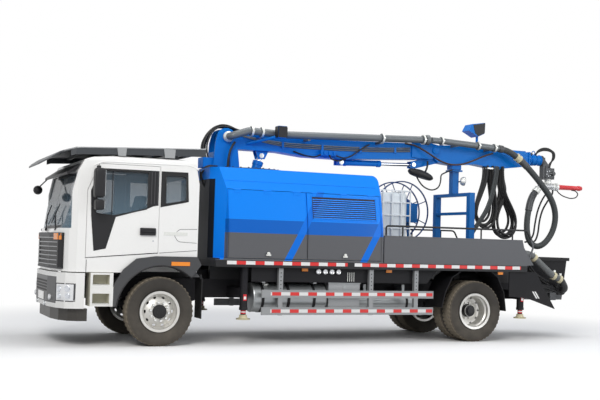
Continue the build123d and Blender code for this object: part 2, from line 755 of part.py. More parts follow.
door_spans = {"front": (box_front + corner_cut + 12, door_split - door_gap / 2),
              "rear": (door_split + door_gap / 2, box_rear - 35)}
door_base = 1372
turret_well = 640
with BuildPart() as enclosure:
    box_volume(0)
    box_volume(box_sheet, mode=Mode.SUBTRACT)
    block((aft(box_rear - 3), aft(box_front + 3)), (-1222, 1222), (box_floor, box_floor + 20))
    for start, end in door_spans.values():
        for side in sides.values():
            block(
                (aft(end + door_gap / 2), aft(start - door_gap / 2)), (side * 1000, side * 1300),
                (door_base - 7, door_top - 4), mode=Mode.SUBTRACT,
            )
    for side in sides.values():
        block((aft(door_split + 40), aft(door_split - 40)), (side * 1055, side * 1010), (box_floor + 19, 2500))
    round_bar(upright(aft(slew_aft), 0, 2700), turret_well, 200, mode=Mode.SUBTRACT)
    round_bar(upright(aft(slew_aft), 0, box_floor + 19), 420, drum_base - fit - box_floor - 19)
finish(enclosure, "enclosure")

# Four service doors, hinged along their top edges. The rear ones carry a field of louvres.
door_skin = [(1225, door_base), (1225, 1770), (1200, 1985), (1103, door_top - 12)]
door_thick = 34
hinge_y = 1103
hinge_z = door_top - 12
hinge_r = 8 - fit
for span_name, (start, end) in door_spans.items():
    for side_name, side in sides.items():
        with BuildPart() as service_door:
            outline = [(side * w, z) for w, z in door_skin]
            outline += [(side * (w - door_thick), z) for w, z in reversed(door_skin)]
            cross_plate(outline, (aft(end), aft(start)))
            if span_name == "rear":
                for slat in range(10):
                    height = 2040 + slat * 34
                    block(
                        (aft(end - 90), aft(start + 90)), (side * 1095, side * 1260), (height, height + 14),
                        mode=Mode.SUBTRACT,
                    )
            middle = (start + end) / 2
            block((aft(middle + 55), aft(middle - 55)), (side * 1224, side * 1238), (1410, 1450))
            for place in (start + 160, middle, end - 160):
                round_bar(along(aft(place + 60), side * hinge_y, hinge_z), hinge_r, 120)
        finish(service_door, f"service_door_{span_name}_{side_name}")

# Liquid additive tank in its tube cage, on a pallet.
tote_front = 3850
tote_rear = 4800
tote_y = (-760, 330)
with BuildPart() as liquid_tank:
    block((aft(tote_rear - 30), aft(tote_front + 30)), (tote_y[0] + 30, tote_y[1] - 30), (deck_top + 150 + fit, 2590))
    fillet(liquid_tank.edges().filter_by(Axis.Z), 110)
    fillet(liquid_tank.faces().sort_by(Axis.Z)[-1].edges(), 60)
    round_bar(upright(aft((tote_front + tote_rear) / 2), -215, 2585), 90, 60)
finish(liquid_tank, "liquid_tank")

with BuildPart() as tank_cage:
    block((aft(tote_rear), aft(tote_front)), tote_y, (deck_top + fit, deck_top + 150))
    for gap_low, gap_high in ((-720, -290), (-160, 290)):
        block(
            (aft(tote_rear + 5), aft(tote_front - 5)), (gap_low, gap_high),
            (deck_top, deck_top + 110), mode=Mode.SUBTRACT,
        )
    for place in (tote_front + 9, tote_rear - 9):
        for step in range(6):
            y = tote_y[0] + 12 + step * (tote_y[1] - tote_y[0] - 24) / 5
            block((aft(place + 9), aft(place - 9)), (y - 9, y + 9), (deck_top + 149, 2640))
    for y in (tote_y[0] + 9, tote_y[1] - 9):
        for step in range(1, 5):
            place = tote_front + 9 + step * (tote_rear - tote_front - 18) / 5
            block((aft(place + 9), aft(place - 9)), (y - 9, y + 9), (deck_top + 149, 2640))
    for level in (1720, 1950, 2180, 2410, 2622):
        for place in (tote_front + 9, tote_rear - 9):
            block((aft(place + 9), aft(place - 9)), tote_y, (level - 9, level + 9))
        for y in (tote_y[0] + 9, tote_y[1] - 9):
            block((aft(tote_rear), aft(tote_front)), (y - 9, y + 9), (level - 9, level + 9))
finish(tank_cage, "tank_cage")

# Hose reel: two wire hoops and a drum turning on a stub in a stand.
reel_aft = 5250
reel_z = 2300
reel_radius = 575
reel_near = -800
reel_far = -1130
stub = 45
with BuildPart() as hose_reel:
    hub = (aft(reel_aft), 0, reel_z)
    for y in (reel_near, reel_far):
        spun(
            [(reel_radius - 11, y - 11), (reel_radius + 11, y - 11), (reel_radius + 11, y + 11),
             (reel_radius - 11, y + 11)],
            Plane(origin=hub, x_dir=(1, 0, 0), z_dir=(0, 0, 1)), hub,
        )
        for spoke in range(8):
            turn = math.radians(22.5 + 45 * spoke)
            out = Vector(math.cos(turn), 0, math.sin(turn))
            start = Vector(hub[0], y, reel_z) + out * 170
            straight_bar(tuple(start), tuple(start + out * (reel_radius - 175)), 9)
    round_bar(across(aft(reel_aft), reel_z, reel_far - 11), 190, reel_near - reel_far + 22, bore=stub + fit)
finish(hose_reel, "hose_reel")

# On the deck: the reel's stand with its drive, and the boom rest, a portal with a pillar whose pad lies
# just under the boom.
rest_aft = 5900
rest_half = 580
rest_beam = 2640
boom_under = 3090
rest_gap = 8
with BuildPart() as deck_stands:
    round_bar(across(aft(reel_aft), reel_z, reel_far - 55), stub, reel_near - reel_far + 125)
    for y in (reel_near + 40, reel_far - 55):
        side_plate(
            placed([(reel_aft - 260, deck_top + fit), (reel_aft - 70, reel_z + 70), (reel_aft + 70, reel_z + 70),
                    (reel_aft + 260, deck_top + fit)]),
            (y, y + 30),
        )
        side_plate(
            placed([(reel_aft - 150, deck_top + 60), (reel_aft - 60, reel_z - 170), (reel_aft + 60, reel_z - 170),
                    (reel_aft + 150, deck_top + 60)]),
            (y - 1, y + 31), mode=Mode.SUBTRACT,
        )
    block((aft(reel_aft + 200), aft(reel_aft - 200)), (reel_near + 69, reel_near + 250), (reel_z - 210, reel_z + 150))
    block(
        (aft(reel_aft + 260), aft(reel_aft - 260)), (reel_far - 55, reel_near + 70), (deck_top + fit, deck_top + 30)
    )
    for side in sides.values():
        post_y = side * rest_half
        block((aft(rest_aft + 55), aft(rest_aft - 55)), (post_y - 55, post_y + 55), (deck_top + fit, rest_beam))
    for low, high in ((rest_beam - 60, rest_beam), (2240, 2290)):
        block((aft(rest_aft + 50), aft(rest_aft - 50)), (-rest_half, rest_half), (low, high))
    block((aft(rest_aft + 65), aft(rest_aft - 65)), (-65, 65), (rest_beam - 1, boom_under - rest_gap - 30))
    block(
        (aft(rest_aft + 110), aft(rest_aft - 110)), (-120, 120),
        (boom_under - rest_gap - 31, boom_under - rest_gap),
    )
finish(deck_stands, "deck_stands")

# Concrete pump at the rear: twin cylinders under the deck, an open hopper and a side outlet.
hopper_front = 7050
hopper_rear = 8050
outlet = (7900, 900)
with BuildPart() as concrete_pump:
    for y in (-160, 160):
        round_bar(along(aft(hopper_front + 5), y, 1100), 95, 1150)
    cross_plate([(-480, 700), (480, 700), (620, 1480), (-620, 1480)], (aft(hopper_rear), aft(hopper_front)))
    hollow = [(-430, 760), (430, 760), (588, 1481), (-588, 1481)]
    cross_plate(hollow, (aft(hopper_rear - 30), aft(hopper_front + 30)), mode=Mode.SUBTRACT)
    block((aft(hopper_rear + 30), aft(hopper_front - 20)), (-660, -600), (1440, 1500))
    block((aft(hopper_rear + 30), aft(hopper_front - 20)), (600, 660), (1440, 1500))
    block((aft(hopper_rear + 30), aft(hopper_rear - 40)), (-660, 660), (1440, 1500))
    for side in sides.values():
        block(
            (aft(hopper_front + 10), aft(rail_end + fit)),
            (side * (rail_y - 40), side * (rail_y + 40)), (740, 990),
        )
    round_bar(across(aft(outlet[0]), outlet[1], 470), pipe_d / 2 + 16, 80)
finish(concrete_pump, "concrete_pump")

# Delivery pipe: from the hopper's side outlet, up over the deck's tail and forwards along the deck into
# the enclosure's rear wall.
line_y = 800
deck_line_y = 1030
with BuildPart() as pump_pipe:
    bent_bar(
        [(aft(outlet[0]), 550 + fit, outlet[1]), (aft(outlet[0]), line_y, outlet[1]), (aft(7790), line_y, 1080),
         (aft(7560), line_y, 1180), (aft(7085), line_y, 1543), (aft(6500), line_y + 100, 1600),
         (aft(6080), deck_line_y, 1420), (aft(box_rear + fit), deck_line_y, 1420)],
        pipe_d / 2, radii=[100, 160, 300, 300, 300, 300],
    )
finish(pump_pipe, "pump_pipe")

# Under the deck's edge: guard rails on hanging posts, skirts, mudguards and the tail's sloping panels.
guard_y = 1185
rear_guard = [(300, bed_bottom - fit), (440, 1130), (570, 860), (615, 540)]
front_guard = [(330, bed_bottom - fit), (515, 1120), (650, 860), (715, 600)]
with BuildPart() as guards_and_skirts:
    for side in sides.values():
        face = (side * guard_y, side * (guard_y - 28))
        for low in (480, 755):
            block((aft(4790), aft(1640)), face, (low, low + 115))
        for place in (1960, 3590, 4450):
            post = (side * guard_y, side * (guard_y - 68))
            block((aft(place + 30), aft(place - 30)), post, (470, bed_bottom - fit))
        side_plate(
            placed([(6350, bed_bottom - fit), (6350, 790), (6744, 763), (7354, 571), (6925, bed_bottom - fit)]),
            (side * 1180, side * 1160),
        )
        side_plate(
            placed([(1480, bed_bottom - fit), (1480, 1000), (4700, 1000), (4900, bed_bottom - fit)]),
            (side * 1110, side * 1095),
        )
        for turn, guard in ((1, rear_guard), (-1, front_guard)):
            inner_face = [(out - 14, z - 6) for out, z in reversed(guard)]
            side_plate(
                [(aft(wheelbase + turn * out), z) for out, z in guard + inner_face], (side * 1190, side * 620)
            )
finish(guards_and_skirts, "guards_and_skirts")

# Turret: a round table in the enclosure's roof, a drum below it, two cheeks and the boom pivot pin.
boom_half = boom_width / 2
cheek_in = boom_half + cheek_gap
cheek_out = cheek_in + turret_cheek
table_z = 2850
pin = 60
lift_foot = (1716, 2160)
lift_eye = (1990, 3110)
slot_half = 122
with BuildPart() as turret:
    round_bar(upright(aft(slew_aft), 0, box_top + 5), 700, 30)
    round_bar(upright(aft(slew_aft), 0, drum_base), 560, box_top + 10 - drum_base)
    block((aft(2210), aft(1590)), (-slot_half, slot_half), (drum_base + 40, 2860), mode=Mode.SUBTRACT)
    for side in sides.values():
        cheek = (side * cheek_in, side * cheek_out)
        side_plate(
            placed([
                (1567, 2834), (1403, 2834), (1376, 3190), (1349, 2834), (1093, 2834), (1125, 3280),
                (1165, pivot_z + 60), (1205, pivot_z + 115), (1270, pivot_z + 145), (1330, pivot_z + 150),
                (1400, pivot_z + 130), (1455, pivot_z + 85), (1490, pivot_z), (1515, 3250),
            ]),
            cheek,
        )
        block(
            (aft(lift_foot[0] + 80), aft(lift_foot[0] - 80)), (side * 92, side * (slot_half + 1)),
            (drum_base + 39, 2300),
        )
    block((aft(1220), aft(1110)), (-cheek_out, cheek_out), (2834, 3120))
    round_bar(across(aft(pivot_aft), pivot_z, -cheek_out), pin, 2 * cheek_out)
finish(turret, "turret")

# Lift cylinder: barrel on the turret, rod to the boom's underside.
foot = Vector(aft(lift_foot[0]), 0, lift_foot[1])
eye = Vector(aft(lift_eye[0]), 0, lift_eye[1])
run = (eye - foot).normalized()
lift_barrel_d = 165
lift_rod_d = 80
barrel_length = (eye - foot).length - 95
with BuildPart() as lift_barrel:
    barrel_plane = Plane(origin=tuple(foot + run * 60), z_dir=run)
    round_bar(barrel_plane, lift_barrel_d / 2, barrel_length - 60)
    round_bar(across(foot.X, foot.Z, fit - 92), 62, 184 - 2 * fit)
    inner_plane = Plane(origin=tuple(foot + run * 75), z_dir=run)
    round_bar(inner_plane, lift_rod_d / 2 + fit, barrel_length, mode=Mode.SUBTRACT)
finish(lift_barrel, "lift_barrel")
with BuildPart() as lift_rod:
    rod_plane = Plane(origin=tuple(foot + run * 80), z_dir=run)
    round_bar(rod_plane, lift_rod_d / 2, (eye - foot).length - 115)
    round_bar(across(eye.X, eye.Z, fit - 55), 52, 110 - 2 * fit)
finish(lift_rod, "lift_rod")

# Main boom: one box, deeper at its middle, with cheeks for both cylinders and for the second arm.
fork_in = arm_width / 2 + cheek_gap
fold_foot = (3500, 3085)
fold_lever = (4980, 3130)
with BuildPart() as main_boom:
    side_plate(
        placed([
            (1260, pivot_z - 90), (1205, pivot_z), (1240, pivot_z + 80), (1330, pivot_z + 110),
            (2600, 3440), (3800, 3480), (5080, 3520), (5080, 3230), (3800, 3162), (3400, 3138),
            (2800, 3140), (2300, 3190), (1420, 3190),
        ]),
        (-boom_half, boom_half),
    )
    round_bar(across(aft(pivot_aft), pivot_z, -boom_half - 1), pin + fit, boom_width + 2, mode=Mode.SUBTRACT)
    for side in sides.values():
        side_plate(
            placed([(lift_eye[0] - 110, 3200), (lift_eye[0] - 60, lift_eye[1] - 55),
                    (lift_eye[0] + 60, lift_eye[1] - 55), (lift_eye[0] + 130, 3200)]),
            (side * 55, side * 80),
        )
        side_plate(
            placed([
                (4900, 3260), (5300, 3240), (fold_aft + 50, fold_z - 90), (fold_aft + 100, fold_z),
                (fold_aft + 60, fold_z + 90), (fold_aft - 100, 3540), (4900, 3520),
            ]),
            (side * fork_in, side * (fork_in + 30)),
        )
        side_plate(
            placed([(4900, 3270), (4900, 3510), (5080, 3515), (5080, 3240)]),
            (side * (boom_half - 5), side * (fork_in + 30)),
        )
    round_bar(across(aft(fold_aft), fold_z, -fork_in - 30), pin, 2 * fork_in + 60)
    block((aft(3560), aft(3440)), (-95, -60), (fold_foot[1] - 45, 3160))
    block((aft(3560), aft(3440)), (60, 95), (fold_foot[1] - 45, 3160))
    straight_bar((aft(1700), boom_half - 5, 3290), (aft(2130), 440, 3420), 24)
    block((aft(2250), aft(2100)), (415, 560), (3390, 3590))
finish(main_boom, "main_boom")

# Concrete pipe along the main boom, entering through the pivot.
with BuildPart() as boom_pipe:
    bent_bar(
        [(aft(pivot_aft), cheek_out + 6, pivot_z), (aft(pivot_aft), cheek_out + 170, pivot_z),
         (aft(1650), cheek_out + 170, 3490), (aft(2300), pipe_y, 3470), (aft(5090), pipe_y, 3570)],
        pipe_d / 2, radii=[90, 150, 400],
    )
    for place, level in ((1702, 3488), (1885, 3483), (4180, 3538), (5020, 3567)):
        round_bar(along(aft(place + 22), pipe_y + 7, level), pipe_d / 2 + 16, 44)
    block((aft(4200), aft(4150)), (boom_half + fit, pipe_y), (3440, 3480))
    block((aft(2790), aft(2740)), (boom_half + fit, pipe_y), (3400, 3440))
finish(boom_pipe, "boom_pipe")

# Folding cylinder between the main boom and the second arm's lever.
foot = Vector(aft(fold_foot[0]), 0, fold_foot[1])
eye = Vector(aft(fold_lever[0]), 0, fold_lever[1])
run = (eye - foot).normalized()
fold_barrel_length = 830
with BuildPart() as fold_barrel:
    round_bar(Plane(origin=tuple(foot + run * 40), z_dir=run), 50, fold_barrel_length - 40)
    round_bar(across(foot.X, foot.Z, fit - 60), 45, 120 - 2 * fit)
    round_bar(Plane(origin=tuple(foot + run * 120), z_dir=run), 30 + fit, fold_barrel_length, mode=Mode.SUBTRACT)
finish(fold_barrel, "fold_barrel")
with BuildPart() as fold_rod:
    round_bar(Plane(origin=tuple(foot + run * 140), z_dir=run), 30, (eye - foot).length - 180)
    round_bar(across(eye.X, eye.Z, fit - 45), 48, 90 - 2 * fit)
finish(fold_rod, "fold_rod")

# Second arm: a hollow box on the fold pin, with a lever below for its cylinder.
arm_half = arm_width / 2
arm_wall = 12
arm_top = 3530
arm_base = 3210
with BuildPart() as second_arm:
    side_plate(
        placed([
            (fold_aft - 70, fold_z), (fold_aft, fold_z + 90), (fold_aft + 300, arm_top), (arm_rear, arm_top),
            (arm_rear, arm_base + 20), (6800, arm_base - 60), (6300, arm_base), (5800, arm_base - 40),
            (fold_aft + 60, 3200), (fold_aft - 40, 3300),
        ]),
        (-arm_half, arm_half),
    )
    block(
        (aft(arm_rear + 10), aft(5800)), (-arm_half + arm_wall, arm_half - arm_wall),
        (arm_base + 40, arm_top - arm_wall), mode=Mode.SUBTRACT,
    )
    round_bar(across(aft(fold_aft), fold_z, -arm_half - 1), pin + fit, arm_width + 2, mode=Mode.SUBTRACT)
    for side in sides.values():
        side_plate(
            placed([(fold_aft + 60, 3300), (fold_aft + 100, 3190), (5010, 3060), (4930, 3070), (4930, 3190),
                    (5020, 3200), (5300, 3290)]),
            (side * 45, side * 75),
        )
    block((aft(6000), aft(5800)), (-90, 90), (boom_under, arm_base - 35))
    straight_bar((aft(6390), 0, arm_top - 5), (aft(6390), 0, 3850), 24)
    side_plate(
        placed([(6130, lamp_top - 170), (6200, lamp_top - 45), (6490, lamp_top), (6480, lamp_top - 210),
                (6340, lamp_top - 275)]),
        (-120, 120),
    )
finish(second_arm, "second_arm")

with BuildPart() as arm_pipe:
    bent_bar(
        [(aft(5200), pipe_y, 3572), (aft(5450), pipe_y, 3570), (aft(6640), pipe_y, 3514.4)],
        pipe_d / 2 - 6, radii=[200],
    )
    for place, level in ((5410, 3570), (6200, 3535), (6560, 3518)):
        round_bar(along(aft(place + 22), pipe_y, level), pipe_d / 2 + 12, 44)
    for place, level in ((5750, 3530), (6480, 3500)):
        block((aft(place + 20), aft(place - 20)), (arm_half + fit, pipe_y), (level - 40, level))
finish(arm_pipe, "arm_pipe")

# Inner arm slides in the second arm and carries the rotary actuator.
with BuildPart() as inner_arm:
    block(
        (aft(arm_rear + 90), aft(5900)), (-arm_half + arm_wall + 4, arm_half - arm_wall - 4),
        (arm_base + 40 + fit, arm_top - arm_wall - 4),
    )
    block((aft(arm_rear + 110), aft(arm_rear + 80)), (-125, 125), (3260, 3520))
    round_bar(along(aft(arm_rear + 420), 0, 3380), 95, 330)
    round_bar(along(aft(arm_rear + 250), 0, 3380), 112, 60)
finish(inner_arm, "inner_arm")

# Head: a flange on the actuator and the bracket that carries the nozzle's own swivel.
head_start = arm_rear + 420 + fit
nozzle_z = 2880
with BuildPart() as head:
    round_bar(along(aft(head_start + 45), 0, 3380), 100, 45)
    block((aft(head_start + 90), aft(head_start + 44)), (-60, 60), (3010, 3440))
    block((aft(head_start + 300), aft(head_start + 89)), (-75, 75), (3020, 3240))
    round_bar(upright(aft(head_start + 200), 0, nozzle_z + 120), 45, 60)
finish(head, "head")

# Nozzle: a body on the swivel, its inlet elbow, the red nozzle and the loop round it.
with BuildPart() as nozzle:
    round_bar(upright(aft(head_start + 200), 0, nozzle_z + 40), 60, 80 - fit)
    round_bar(along(aft(head_start + 390), 0, nozzle_z), 58, 330)
    bent_bar(
        [(aft(head_start - 20), 0, nozzle_z - 39.5), (aft(head_start + 20), 0, nozzle_z),
         (aft(head_start + 80), 0, nozzle_z)],
        48, radii=[70],
    )
    revolve(
        face_of(
            [
                (aft(head_start + 380), nozzle_z), (aft(head_start + 380), nozzle_z + 62),
                (aft(head_start + 440), nozzle_z + 62), (aft(head_start + 480), nozzle_z + 44),
                (aft(boom_tip - 60), nozzle_z + 36), (aft(boom_tip), nozzle_z + 36), (aft(boom_tip), nozzle_z),
            ],
            Plane.XZ,
        ),
        axis=Axis((aft(boom_tip), 0, nozzle_z), (1, 0, 0)),
    )
finish(nozzle, "nozzle")

# Hoses that hang from the arm. Each route is a list of points, and each arc is as large as they allow.
hose_routes = {
    "delivery_hose": (
        58,
        [(6640.3, 330, 3514.4), (6840, 330, 3505.1), (7130, 328, 3350), (7400, 320, 3140), (7680, 300, 2890),
         (7930, 270, 2640), (8060, 235, 2400), (8075, 200, 2150), (7985, 160, 1910), (7810, 120, 1730),
         (7620, 90, 1690), (7480, 60, 1810), (7450, 40, 2000), (7480, 20, 2200), (7550, 10, 2400),
         (7620, 0, 2570), (7710, 0, 2720), (7830, 0, 2840)],
    ),
    "arm_hoses_front": (
        34,
        [(6560, 60, 3176.2), (6545, 60, 2930), (6460, 62, 2700), (6360, 66, 2470), (6335, 70, 2260),
         (6420, 75, 2090), (6570, 80, 2060), (6700, 80, 2170), (6750, 75, 2370), (6735, 70, 2620),
         (6685, 65, 2880), (6670, 60, 3159.3)],
    ),
    "arm_hoses_rear": (
        34,
        [(6955, -75, 3166.6), (6965, -75, 2960), (7030, -75, 2770), (6995, -72, 2560), (6880, -65, 2370),
         (6815, -55, 2170), (6850, -45, 1970), (6990, -35, 1870), (7160, -20, 1910), (7245, 0, 2080),
         (7205, 15, 2270), (7090, 25, 2450), (6965, 30, 2640), (6890, 32, 2860), (6880, 30, 3156.5)],
    ),
}
for hose_name, (radius, points) in hose_routes.items():
    route = [(aft(a), y, z) for a, y, z in points]
    with BuildPart() as hose:
        bent_bar(route, radius)
    print(hose_name, "radii", [round(r) for r in bend_radii(route)])
    finish(hose, hose_name)
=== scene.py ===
import math
from functools import partial

import bpy
import bmesh
import numpy as np
from mathutils import Matrix, Vector
from mathutils.geometry import tessellate_polygon


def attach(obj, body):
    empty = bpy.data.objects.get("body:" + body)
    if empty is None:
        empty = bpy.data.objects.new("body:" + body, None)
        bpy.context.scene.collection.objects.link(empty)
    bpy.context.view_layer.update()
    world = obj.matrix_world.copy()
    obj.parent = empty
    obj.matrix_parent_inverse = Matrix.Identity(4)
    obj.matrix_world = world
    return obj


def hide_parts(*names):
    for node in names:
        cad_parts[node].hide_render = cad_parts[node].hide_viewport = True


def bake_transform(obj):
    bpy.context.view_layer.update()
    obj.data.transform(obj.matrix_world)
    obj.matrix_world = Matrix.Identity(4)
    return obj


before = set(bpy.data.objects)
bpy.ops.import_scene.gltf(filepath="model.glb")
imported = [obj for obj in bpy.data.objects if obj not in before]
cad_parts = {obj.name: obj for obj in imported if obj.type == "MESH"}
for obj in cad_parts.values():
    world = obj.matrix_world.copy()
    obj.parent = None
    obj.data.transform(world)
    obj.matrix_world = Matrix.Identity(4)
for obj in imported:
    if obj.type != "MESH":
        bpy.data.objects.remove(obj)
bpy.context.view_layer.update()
frontAxle = 3.535
wheelbase = 5.670
trackSide = {"left": 1, "right": -1}


# Places along the machine are written in metres aft of the front axle. This gives their x.
def aft(distance):
    return frontAxle - distance


# One maths node. Each input is a socket or a number.
def mathNode(nodes, links, operation, *inputs):
    node = nodes.new("ShaderNodeMath")
    node.operation = operation
    for slot, given in enumerate(inputs):
        if isinstance(given, (int, float)):
            node.inputs[slot].default_value = given
        else:
            links.new(given, node.inputs[slot])
    return node.outputs[0]


# The object's own coordinates in a node tree: the whole vector, and its x, y and z.
def objectPlace(nodes, links):
    place = nodes.new("ShaderNodeTexCoord")
    split = nodes.new("ShaderNodeSeparateXYZ")
    links.new(place.outputs["Object"], split.inputs[0])
    return place.outputs["Object"], split.outputs["X"], split.outputs["Y"], split.outputs["Z"]


# A noise texture over a vector, with its scale and its detail. Returns its value.
def noiseNode(nodes, links, vector, scale, detail):
    noise = nodes.new("ShaderNodeTexNoise")
    noise.inputs["Scale"].default_value = scale
    noise.inputs["Detail"].default_value = detail
    links.new(vector, noise.inputs["Vector"])
    return noise.outputs["Fac"]


# A value carried from one range to another and held at the ends.
def rangeNode(nodes, links, value, given, wanted=(0, 1), curve="LINEAR"):
    node = nodes.new("ShaderNodeMapRange")
    node.interpolation_type = curve
    for socket, limit in zip(("From Min", "From Max", "To Min", "To Max"), (*given, *wanted)):
        node.inputs[socket].default_value = limit
    links.new(value, node.inputs["Value"])
    return node.outputs[0]


# A colour mix by a share. Each colour is a socket or three numbers.
def colourNode(nodes, links, share, first, second):
    mix = nodes.new("ShaderNodeMix")
    mix.data_type = "RGBA"
    links.new(share, mix.inputs[0])
    for slot, given in ((6, first), (7, second)):
        if isinstance(given, tuple):
            mix.inputs[slot].default_value = (*given, 1)
        else:
            links.new(given, mix.inputs[slot])
    return mix.outputs[2]


weatherLook = {"dustStarts": 1.15, "dustIsFull": 0.15, "dustColour": (0.27, 0.235, 0.19), "cloudScale": 5.5,
               "cloudDetail": 6, "grainScale": 38, "grainDetail": 4, "dustRoughness": 0.5}


# Road dust that thickens towards the ground, and a fine mottle. dust = height share x cloud noise x Dust,
# change = Mottle x (2 grain noise - 1), brightness x (1 + change), and roughness + 0.5 dust + change.
def weatherGroup():
    group = bpy.data.node_groups.new("weather", "ShaderNodeTree")
    for name, kind in (("Color", "Color"), ("Roughness", "Float"), ("Dust", "Float"), ("Mottle", "Float")):
        group.interface.new_socket(name, in_out="INPUT", socket_type="NodeSocket" + kind)
    for name, kind in (("Color", "Color"), ("Roughness", "Float")):
        group.interface.new_socket(name, in_out="OUTPUT", socket_type="NodeSocket" + kind)
    nodes, links = group.nodes, group.links
    calc = partial(mathNode, nodes, links)
    inside, outside = nodes.new("NodeGroupInput"), nodes.new("NodeGroupOutput")
    place, x, y, z = objectPlace(nodes, links)
    low = rangeNode(nodes, links, z, (weatherLook["dustStarts"], weatherLook["dustIsFull"]))
    cloud = noiseNode(nodes, links, place, weatherLook["cloudScale"], weatherLook["cloudDetail"])
    dust = calc("MULTIPLY", calc("MULTIPLY", low, cloud), inside.outputs["Dust"])
    dusty = colourNode(nodes, links, dust, inside.outputs["Color"], weatherLook["dustColour"])
    grain = noiseNode(nodes, links, place, weatherLook["grainScale"], weatherLook["grainDetail"])
    change = calc("MULTIPLY", rangeNode(nodes, links, grain, (0, 1), (-1, 1)), inside.outputs["Mottle"])
    tint = nodes.new("ShaderNodeVectorMath")
    tint.operation = "SCALE"
    links.new(dusty, tint.inputs[0])
    links.new(calc("ADD", change, 1), tint.inputs["Scale"])
    links.new(tint.outputs[0], outside.inputs["Color"])
    rough = calc("MULTIPLY_ADD", dust, weatherLook["dustRoughness"], inside.outputs["Roughness"])
    links.new(calc("ADD", rough, change), outside.inputs["Roughness"])
    return group


weather = weatherGroup()


# A Principled finish fed by the weather group, with a noise for its relief where bump isn't 0.
def finishOf(name, colour, roughness=0.45, metallic=0.0, coat=0.0, dust=0.5, mottle=0.05, bump=0.0, grain=60,
             gloss=0.5):
    made = bpy.data.materials.new(name)
    made.use_nodes = True
    nodes, links = made.node_tree.nodes, made.node_tree.links
    shader = nodes["Principled BSDF"]
    group = nodes.new("ShaderNodeGroup")
    group.node_tree = weather
    for socket, given in (("Color", (*colour, 1)), ("Roughness", roughness), ("Dust", dust),
                          ("Mottle", mottle)):
        group.inputs[socket].default_value = given
    links.new(group.outputs["Color"], shader.inputs["Base Color"])
    links.new(group.outputs["Roughness"], shader.inputs["Roughness"])
    for socket, given in (("Metallic", metallic), ("Coat Weight", coat), ("Coat Roughness", 0.08),
                          ("Specular IOR Level", gloss)):
        shader.inputs[socket].default_value = given
    if bump:
        place = nodes.new("ShaderNodeTexCoord")
        relief = nodes.new("ShaderNodeBump")
        relief.inputs["Strength"].default_value = bump
        relief.inputs["Distance"].default_value = 0.004
        links.new(noiseNode(nodes, links, place.outputs["Object"], grain, 5), relief.inputs["Height"])
        links.new(relief.outputs["Normal"], shader.inputs["Normal"])
    return made


# For a finish in bands: calc adds a maths node to it, and x, y and z are the object's coordinates.
def coordinates(made):
    nodes, links = made.node_tree.nodes, made.node_tree.links
    place, x, y, z = objectPlace(nodes, links)
    return partial(mathNode, nodes, links), x, y, z


# 1 where every mask is 1.
def allOf(calc, first, *masks):
    for mask in masks:
        first = calc("MULTIPLY", first, mask)
    return first


# Bands over the base colour. Each layer is a mask socket and a colour, and a later one lies on top.
def layered(made, layers):
    nodes, links = made.node_tree.nodes, made.node_tree.links
    group = next(node for node in nodes if node.type == "GROUP")
    below = tuple(group.inputs["Color"].default_value)[:3]
    for mask, colour in layers:
        below = colourNode(nodes, links, mask, below, colour)
    links.new(below, group.inputs["Color"])


